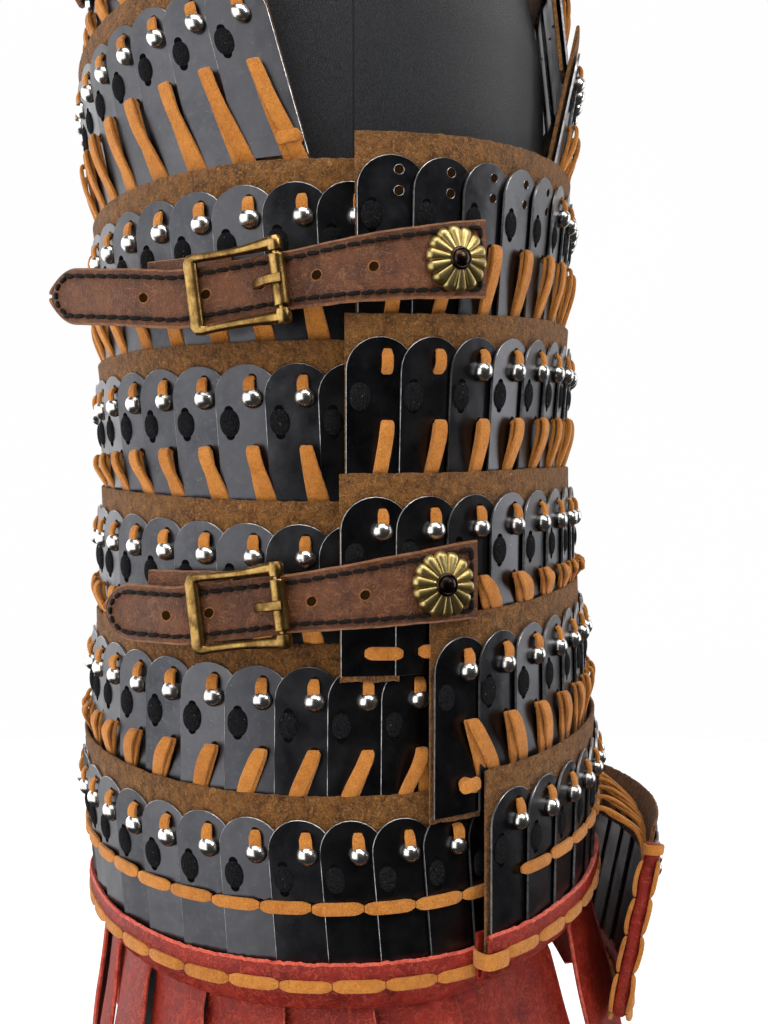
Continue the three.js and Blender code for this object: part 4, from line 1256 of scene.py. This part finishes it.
class StrapLine:
    """A strap's middle line on the right side, by y: how far out, how high and how wide it is there."""

    def __init__(self, spec):
        path = np.array(spec["path"], float)
        self.ys, self.outs = path.T
        self.heights = spec["heights"]
        beyond = [2 * path[0] - path[1], *path, path[-1] + (path[-1] - path[-2]) * 0.6]
        self.long_ys, self.long_outs = np.array(beyond).T

    def place(self, y, w=0.0, v=0.0):
        """Points at y, w outwards and v up."""
        y, w, v = np.broadcast_arrays(np.asarray(y, float), w, v)
        knots = [self.ys[0], STRAIGHT[1], self.ys[-1]]
        out, ahead, behind = [eased(y + step, self.long_ys, self.long_outs, 6) for step in (0, -1, 1)]
        slope = (behind - ahead) / 2
        length = np.hypot(1, slope)
        z = eased(y, knots, self.heights, 6)
        return np.stack([-(out + w / length), y - w * slope / length, z + v], -1)

    def half_width(self, y):
        k = np.clip((y - self.ys[0]) / (STRAIGHT[0] - self.ys[0]), 0, 1)
        return (STRAP["root"] + (STRAP["buckle"] - STRAP["root"]) * k) / 2


strap_leather = leather_finish(
    "pull_up_leather", dark=(0.052, 0.016, 0.006), mid=(0.140, 0.046, 0.016), light=(0.290, 0.125, 0.055),
    grain=1.6, rough=(0.42, 0.6), crazing=0.55)
strap_edge = suede_finish(
    "strap_raw_edge", pale=(0.46, 0.21, 0.08), mid=(0.27, 0.105, 0.035), dark=(0.10, 0.034, 0.012), nap=0.7)


def thread_finish():
    finish = Finish("waxed_thread")
    ply = finish.noise(0.6, detail=2)
    shade = finish.mix(ply, (0.0025, 0.002, 0.0015), (0.014, 0.010, 0.008))
    finish.shade(Base_Color=shade, Roughness=0.7, Normal=finish.bump(ply, 0.5))
    finish.shader.inputs["Specular IOR Level"].default_value = 0.15
    return finish.material


thread = thread_finish()
thread_bow = 0.35 * np.sin(np.linspace(0, pi, 6))


def thread_stitch(heap, path, across):
    ribbon(heap, path, across, THREAD["width"], THREAD["thickness"], sides=8, taper=blunt(6, 0.5), square=0.8)


def make_strap(level, spec):
    line = StrapLine(spec)
    heap = Heap()
    tip = STRAP["tip"]
    y_end = line.ys[-1] - spec["trim"]
    rounding = np.sin(np.linspace(0.05, 0.93, 16) * pi / 2)
    ys = np.concatenate([np.linspace(line.ys[0], y_end - tip, 110), y_end - tip * (1 - rounding)])
    across = np.linspace(-1, 1, 11)
    half = line.half_width(ys)
    inside_tip = np.clip((ys - (y_end - tip)) / tip, 0, 0.995)
    half = half * np.where(ys > y_end - tip, np.sqrt(1 - inside_tip**2), 1)
    half = np.maximum(half, 0.6)
    wander = 0.25 * np.sin(ys * 0.21) + 0.15 * np.sin(ys * 0.53)
    face_w = STRAP["thickness"] / 2
    crease = 0.55 * np.clip((np.abs(across) - 0.72) / 0.1, 0, 1) * (np.abs(across) < 0.9)
    face = line.place(ys[:, None], face_w - crease[None], across[None] * (half + wander * 0.4)[:, None])
    slab(heap, face, STRAP["thickness"] - 0.4)
    holes = Heap()
    angle = np.linspace(0, 2 * pi, 20, endpoint=False)
    fan = np.stack([np.arange(20), np.roll(np.arange(20), -1), np.full(20, 20)], -1)
    for hole_y in spec["holes"]:
        # a pale burr, and inside it the hole, a dark disc of painted shade
        for radius, lift, finish in ((2.95, 0.03, 0), (2.25, 0.12, 1)):
            rim = line.place(hole_y + radius * np.cos(angle), face_w + lift, radius * np.sin(angle))
            centre = line.place([hole_y], face_w + lift, [0.0])
            holes.add(np.concatenate([rim, centre]), fan, finish)
    both_sides(holes, f"{level}_{{}}_strap_holes", [strap_edge, painted_hole_shade], "strap_leather")
    both_sides(heap, f"{level}_{{}}_strap_leather", [strap_leather, strap_edge], "strap_leather",
               f"{level}_{{}}_strap", crease=60)
    steps = np.linalg.norm(np.diff(line.place(ys), axis=0), axis=1)
    area = (steps * (half[1:] + half[:-1])).sum() * 1e-6
    for side in ("right", "left"):
        steps.sum() / 1000

    sewing = Heap()
    margin, root_y = STRAP["margin"], line.ys[0] + STRAP["root_margin"]
    thread_w = face_w + 0.25 + thread_bow
    for start in np.arange(root_y, y_end - tip + 2, THREAD["pitch"]):
        y = np.linspace(start, start + THREAD["stitch"], 6)
        for edge in (-1, 1):
            v = edge * (line.half_width(y) - margin) + 0.25 * edge * np.linspace(-1, 1, 6)
            across_stitch = unit(line.place(y, 0, v + 1) - line.place(y, 0, v))
            thread_stitch(sewing, line.place(y, thread_w, v), across_stitch)
    root_half = line.half_width(line.ys[0]) - margin
    for v0 in np.linspace(-root_half, root_half, 6)[:-1]:
        v = np.linspace(v0 + 0.4, v0 + root_half / 2.5 - 0.4, 6)
        thread_stitch(sewing, line.place(root_y, thread_w, v), np.repeat([[0.25, 1.0, 0]], 6, axis=0))
    tail_half = line.half_width(y_end) - margin
    turns = np.linspace(-pi / 2, pi / 2, 8)
    for a0, a1 in zip(turns, turns[1:]):
        a = np.linspace(a0 + 0.05, a1 - 0.05, 6)
        y, v = y_end - tip + (tip - margin) * np.cos(a), tail_half * np.sin(a)
        radial = line.place(y + 0.3 * np.cos(a), 0, v + np.sin(a)) - line.place(y, 0, v)
        thread_stitch(sewing, line.place(y, thread_w, v), unit(radial))
    both_sides(sewing, f"{level}_{{}}_strap_stitches", thread, "strap_leather")


for level, spec in STRAPS.items():
    make_strap(level, spec)

# ---------------------------------------------------------------------------------------------
# Buckles: cast aged brass frames with rounded bars that thicken to the roller's end, a turned
# roller sleeve and a short blunt tongue through the strap's hole.
# ---------------------------------------------------------------------------------------------
BUCKLE = {"y": 45, "length": 50, "height": 39, "thickness": 4, "gap": 0.3, "roller_radius": 4,
          "roller_length": 24.5, "tongue_width": 4.3, "tongue_thickness": 2.7}


def brass_finish(name, worn, mid, dark, rough):
    """Brass that is bright and smooth in rubbed patches and dull and dark in others, laid out by noise."""
    finish = Finish(name)
    broad = finish.noise(7, detail=5, roughness=0.65)
    fine = finish.noise(1.0, detail=4)
    shade = finish.mix(finish.ease(broad, 0.36, 0.62), dark, mid)
    shade = finish.mix(finish.ease(fine * 0.5 + broad * 0.6, 0.5, 0.85) * 0.7, shade, worn)
    return finish.shade(Base_Color=shade, Metallic=1.0, Roughness=finish.ease(broad, 0.3, 0.7, *rough),
                        Normal=finish.bump(fine, 0.05))


aged_brass = brass_finish(
    "aged_brass", worn=(0.541, 0.348, 0.126), mid=(0.328, 0.200, 0.061), dark=(0.131, 0.070, 0.021),
    rough=(0.42, 0.24))


def on_strap(line, y):
    """A flat frame on the strap at y: a along it to the front, w outwards from its middle, v up."""
    origin = line.place([y], 0.0, 0.0)[0]
    along = unit(line.place([y - 12], 0.0, 0.0)[0] - line.place([y + 12], 0.0, 0.0)[0])
    outward = unit(np.cross(along, [0, 0, 1.0]))
    outward = outward if outward[0] < 0 else -outward
    up = unit(np.cross(outward, along))
    up = up if up[2] > 0 else -up

    def put(a, w, v):
        a, w, v = np.broadcast_arrays(np.asarray(a, float), w, v)
        return origin + a[..., None] * along + w[..., None] * outward + v[..., None] * up

    return put


def round_bar(heap, put, route, flat_radii, deep_radii, sides=20, square=0.8):
    """A cast bar through (a, w, v) points, with its half width in the frame's plane and its half depth."""
    path = put(*np.asarray(route, float).T)
    tangent = unit(np.gradient(path, axis=0))
    outward = unit(put(0, 1, 0) - put(0, 0, 0))
    side = unit(np.cross(tangent, outward))
    rise = np.cross(side, tangent)
    angle = np.linspace(0, 2 * pi, sides, endpoint=False)
    a = np.sign(np.cos(angle)) * np.abs(np.cos(angle)) ** square
    b = np.sign(np.sin(angle)) * np.abs(np.sin(angle)) ** square
    flat_radii, deep_radii = [np.asarray(r, float)[:, None, None] for r in (flat_radii, deep_radii)]
    ring = flat_radii * side[:, None] * a[None, :, None] + deep_radii * rise[:, None] * b[None, :, None]
    last = (len(path) - 1) * sides + np.arange(sides)
    faces = [grid_faces(len(path), sides, closed=True), np.arange(sides)[None, ::-1], last[None]]
    heap.add(path[:, None] + ring, faces)


def make_buckle(level, spec):
    put = on_strap(StrapLine(spec), BUCKLE["y"])
    lift = STRAP["thickness"] / 2 + BUCKLE["gap"] + BUCKLE["thickness"] / 2
    radius = BUCKLE["roller_radius"]
    high = STRAP["thickness"] / 2 + BUCKLE["gap"] + radius
    front_a, rear_a = BUCKLE["length"] / 2 - radius + 0.5, 3.4 - BUCKLE["length"] / 2
    rail_v = BUCKLE["height"] / 2 - 2.2
    heap = Heap()

    # the frame: two rails that run in to the rear bar and thicken towards the roller
    upper_rail = np.column_stack([np.linspace(front_a - 1.5, rear_a + 2.5, 16), np.full(16, rail_v)])
    rear_bar = [(rear_a + 0.7, rail_v - 0.7), (rear_a, rail_v - 2.4), (rear_a, rail_v / 2), (rear_a, 0),
                (rear_a, -rail_v / 2), (rear_a, 2.4 - rail_v), (rear_a + 0.7, 0.7 - rail_v)]
    around = np.concatenate([upper_rail, rear_bar, upper_rail[::-1] * [1, -1]])
    k = np.clip((around[:, 0] - rear_a) / (front_a - rear_a), 0, 1)
    swell = np.clip((k - 0.45) / 0.5, 0, 1) ** 1.5
    rear = np.clip(1 - k / 0.08, 0, 1)
    around[:, 1] = np.sign(around[:, 1]) * (np.abs(around[:, 1]) - 0.5 * np.sin(pi * k) + 0.3 * swell)
    route = np.column_stack([around[:, 0], lift + (high - lift) * swell, around[:, 1]])
    round_bar(heap, put, route, 1.95 + 1.35 * swell + 1.5 * rear, 2.1 + 1.3 * swell + 0.3 * rear)

    # the knuckles at the rails' ends, the pin between them and the sleeve on it
    knuckle = np.array([1.6, 2.9, 3.7, 3.9, 3.5, 2.4])
    for end in (-1, 1):
        knuckle_v = end * (rail_v + np.array([3.4, 3.1, 1.5, -1.2, -3.4, -3.8]))
        round_bar(heap, put, [(front_a, high, v) for v in knuckle_v], knuckle, knuckle, sides=24, square=0.9)
    pin_v = np.linspace(3 - rail_v, rail_v - 3, 5)
    round_bar(heap, put, [(front_a, high, v) for v in pin_v], [1.7] * 5, [1.7] * 5)
    from_end, half = np.array([0, 0.1, 0.6, 1.4]), BUCKLE["roller_length"] / 2
    sleeve_v = [*(from_end - half), 0, *(half - from_end)[::-1]]
    sleeve_r = radius * np.array([0.75, 0.93, 1, 0.97, 1, 0.97, 1, 0.93, 0.75])
    round_bar(heap, put, [(front_a, high, v) for v in sleeve_v], sleeve_r, sleeve_r, sides=28, square=1.0)

    # the tongue comes up through the strap's hole and lies on the sleeve: (a, w)
    over = high + radius + 1.2
    tongue = through([(7.6, -2.5), (8.0, 1.0), (9.8, 5.0), (13.5, 8.4), (17.5, over - 0.5),
                      (front_a + 2.4, over - 0.3)], 18)
    path = put(tongue[:, 0], tongue[:, 1], 0.0)
    across = unit(put(0, 0, 1) - put(0, 0, 0))
    wide = np.interp(np.arange(18), [0, 12, 17], [1.0, 1.0, 1.1])
    across = np.repeat(across[None], 18, axis=0)
    ribbon(heap, path, across, BUCKLE["tongue_width"], BUCKLE["tongue_thickness"], sides=16, square=0.35,
           taper=wide)
    both_sides(heap, f"{level}_{{}}_buckle_brass", aged_brass, "brass", f"{level}_{{}}_buckle", crease=50)
    for side in ("right", "left"):
        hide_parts(f"{level}_{side}_tongue")


for level, spec in STRAPS.items():
    make_buckle(level, spec)

# ---------------------------------------------------------------------------------------------
# Rosettes: stamped brass flowers of rounded petals round a dark bronze boss, riveted through
# the strap's wide end.
# ---------------------------------------------------------------------------------------------
ROSETTE = {"radius": 16, "petals": 14, "rise": 5.2, "inner": 3, "boss": 5.2, "boss_rise": 6.2}
BOSS_PROFILE = [
    # share of the boss's radius, and of its rise
    (1.08, 0), (1.08, 0.45), (1, 0.62), (0.86, 0.66), (0.78, 0.62), (0.7, 0.72), (0.45, 0.84),
]
rosette_brass = brass_finish(
    "rosette_brass", worn=(0.66, 0.53, 0.25), mid=(0.52, 0.40, 0.165), dark=(0.38, 0.28, 0.10),
    rough=(0.46, 0.36))
dark_bronze = brass_finish(
    "dark_bronze", worn=(0.11, 0.07, 0.045), mid=(0.045, 0.028, 0.020), dark=(0.018, 0.012, 0.010),
    rough=(0.35, 0.25))


def make_rosette(level, spec):
    put = on_strap(StrapLine(spec), spec["rosette_y"])
    seat = STRAP["thickness"] / 2 + 0.3
    heap = Heap()
    petals, per_petal, rings = ROSETTE["petals"], 12, 16
    angle = np.linspace(0, 2 * pi, petals * per_petal, endpoint=False)[None]
    within = ((angle * petals / (2 * pi)) % 1) * 2 - 1
    crown = np.sqrt(np.clip(1 - within**2, 0, 1))
    k = np.linspace(0, 1, rings)[:, None]
    edge = ROSETTE["radius"] * (0.885 + 0.115 * crown)
    r = ROSETTE["inner"] + (edge - ROSETTE["inner"]) * k
    dome = ROSETTE["rise"] * (1 - 0.42 * k**1.6)
    groove = 1.9 * (1 - crown**0.8) * (0.35 + 0.65 * k)
    roll_off = np.where(k > 0.86, ((k - 0.86) / 0.14) ** 2 * 2.0, 0)
    w = np.maximum(seat + dome - groove - roll_off, seat + 0.4)
    face = put(r * np.cos(angle), w, r * np.sin(angle))
    skirt = put(edge * np.cos(angle), seat + 0 * edge, edge * np.sin(angle))
    count = petals * per_petal
    last = rings * count + np.arange(count)
    faces = [grid_faces(rings + 1, count, closed=True), np.arange(count)[None, ::-1], last[None]]
    heap.add(np.concatenate([face, skirt]), faces)
    boss_r, boss_h = ROSETTE["boss"], ROSETTE["boss_rise"]
    profile = [(boss_r * out, boss_h * up) for out, up in BOSS_PROFILE]
    turned, faces = lathe([*profile, (0.4, boss_h * 0.9)], 32)
    heap.add(put(turned[:, 0], seat + 2.2 + turned[:, 2], turned[:, 1]), faces, 1)
    both_sides(heap, f"{level}_{{}}_rosette_brass", [rosette_brass, dark_bronze], "brass",
               f"{level}_{{}}_rosette", crease=60)


for level, spec in STRAPS.items():
    make_rosette(level, spec)

# ---------------------------------------------------------------------------------------------
# Tabs: the short doubled leather that holds each buckle, thonged to the back panel behind the
# strap, so that only its upper edge and its thong show.
# ---------------------------------------------------------------------------------------------
TAB = {"low": -14, "high": 17, "thickness": 3, "thong_z": 13, "thongs_from": (56, 68, 80), "thong": 9.5}


for level, spec in STRAPS.items():
    line = StrapLine(spec)
    tab_y, tab_out = np.array(spec["tab"], float).T
    y = np.linspace(tab_y[0], tab_y[-1], 22)
    out = eased(y, tab_y, tab_out, 4)
    middle_z = line.place([BUCKLE["y"]])[0, 2]
    v = np.linspace(TAB["high"], TAB["low"], 9)
    ragged = random.normal(0, 0.12, (22, 1)) * (np.abs(v - 1.5) > 15)[None]
    face = np.stack(np.broadcast_arrays(-out[:, None], y[:, None], middle_z + v[None] + ragged), -1)
    tab = Heap()
    slab(tab, face, TAB["thickness"])
    both_sides(tab, f"{level}_{{}}_tab_leather", [strap_leather, strap_edge], "strap_leather",
               f"{level}_{{}}_tab", crease=60)
    tie_down = Heap()
    k = np.linspace(0, 1, 10)
    upwards = np.repeat([[0, 0, 1.0]], 10, axis=0)
    for start in TAB["thongs_from"]:
        thong_y = start + TAB["thong"] * k
        thong_out = np.interp(thong_y, tab_y, tab_out) + 0.3 + 1.6 * np.sin(pi * k) ** 0.6
        path = np.stack([-thong_out, thong_y, middle_z + TAB["thong_z"] - 1.5 * k], -1)
        ribbon(tie_down, path, upwards, 5.4, 2.3, tone=random.random(), taper=blunt(10, 0.5))
    both_sides(tie_down, f"{level}_{{}}_tab_thong", tan, "lace_leather")

# ---------------------------------------------------------------------------------------------
# Shoulder straps: plain straps of the same leather over the form's shoulders. Their ends lie on
# the outer corners of the top bands.
# ---------------------------------------------------------------------------------------------
SHOULDER = {"x": 92, "width": 44}
SHOULDER_PATH = np.array([
    # y and z of the strap's middle line
    (-122, 655), (-121.5, 702), (-103, 722), (-62, 738), (0, 746), (60, 743), (106, 727), (135, 703),
    (143.5, 688), (144, 648),
], float)
steps = np.concatenate([[0], np.cumsum(np.hypot(*np.diff(SHOULDER_PATH, axis=0).T))])
along = np.linspace(0, steps[-1], 120)
strap_y, strap_z = [eased(along, steps, SHOULDER_PATH[:, k], 5) for k in (0, 1)]
slope_y, slope_z = np.gradient(strap_y), np.gradient(strap_z)
length = np.hypot(slope_y, slope_z)
lift_y, lift_z = -slope_z / length * STRAP["thickness"] / 2, slope_y / length * STRAP["thickness"] / 2
x = -(SHOULDER["x"] + np.linspace(-0.5, 0.5, 13) * SHOULDER["width"])
face = np.stack(np.broadcast_arrays(x[None], (strap_y + lift_y)[:, None], (strap_z + lift_z)[:, None]), -1)
over_shoulder = Heap()
slab(over_shoulder, face[:, ::-1], STRAP["thickness"] - 0.3)
both_sides(over_shoulder, "shoulder_{}_leather", [strap_leather, strap_edge], "strap_leather",
           "shoulder_strap_{}", crease=60)
shoulder_sewing = Heap()
out = 1.35 + thread_bow
for edge in (-1, 1):
    stitch_x = -(SHOULDER["x"] + edge * (SHOULDER["width"] / 2 - STRAP["margin"]))
    for start in np.arange(8, steps[-1] - 12, THREAD["pitch"]):
        at = np.linspace(start, start + THREAD["stitch"], 6)
        path = np.stack([np.full(6, stitch_x),
                         np.interp(at, along, strap_y) + out * np.interp(at, along, lift_y),
                         np.interp(at, along, strap_z) + out * np.interp(at, along, lift_z)], -1)
        thread_stitch(shoulder_sewing, path, np.repeat([[1.0, 0, 0]], 6, axis=0))
both_sides(shoulder_sewing, "shoulder_{}_stitches", thread, "strap_leather")
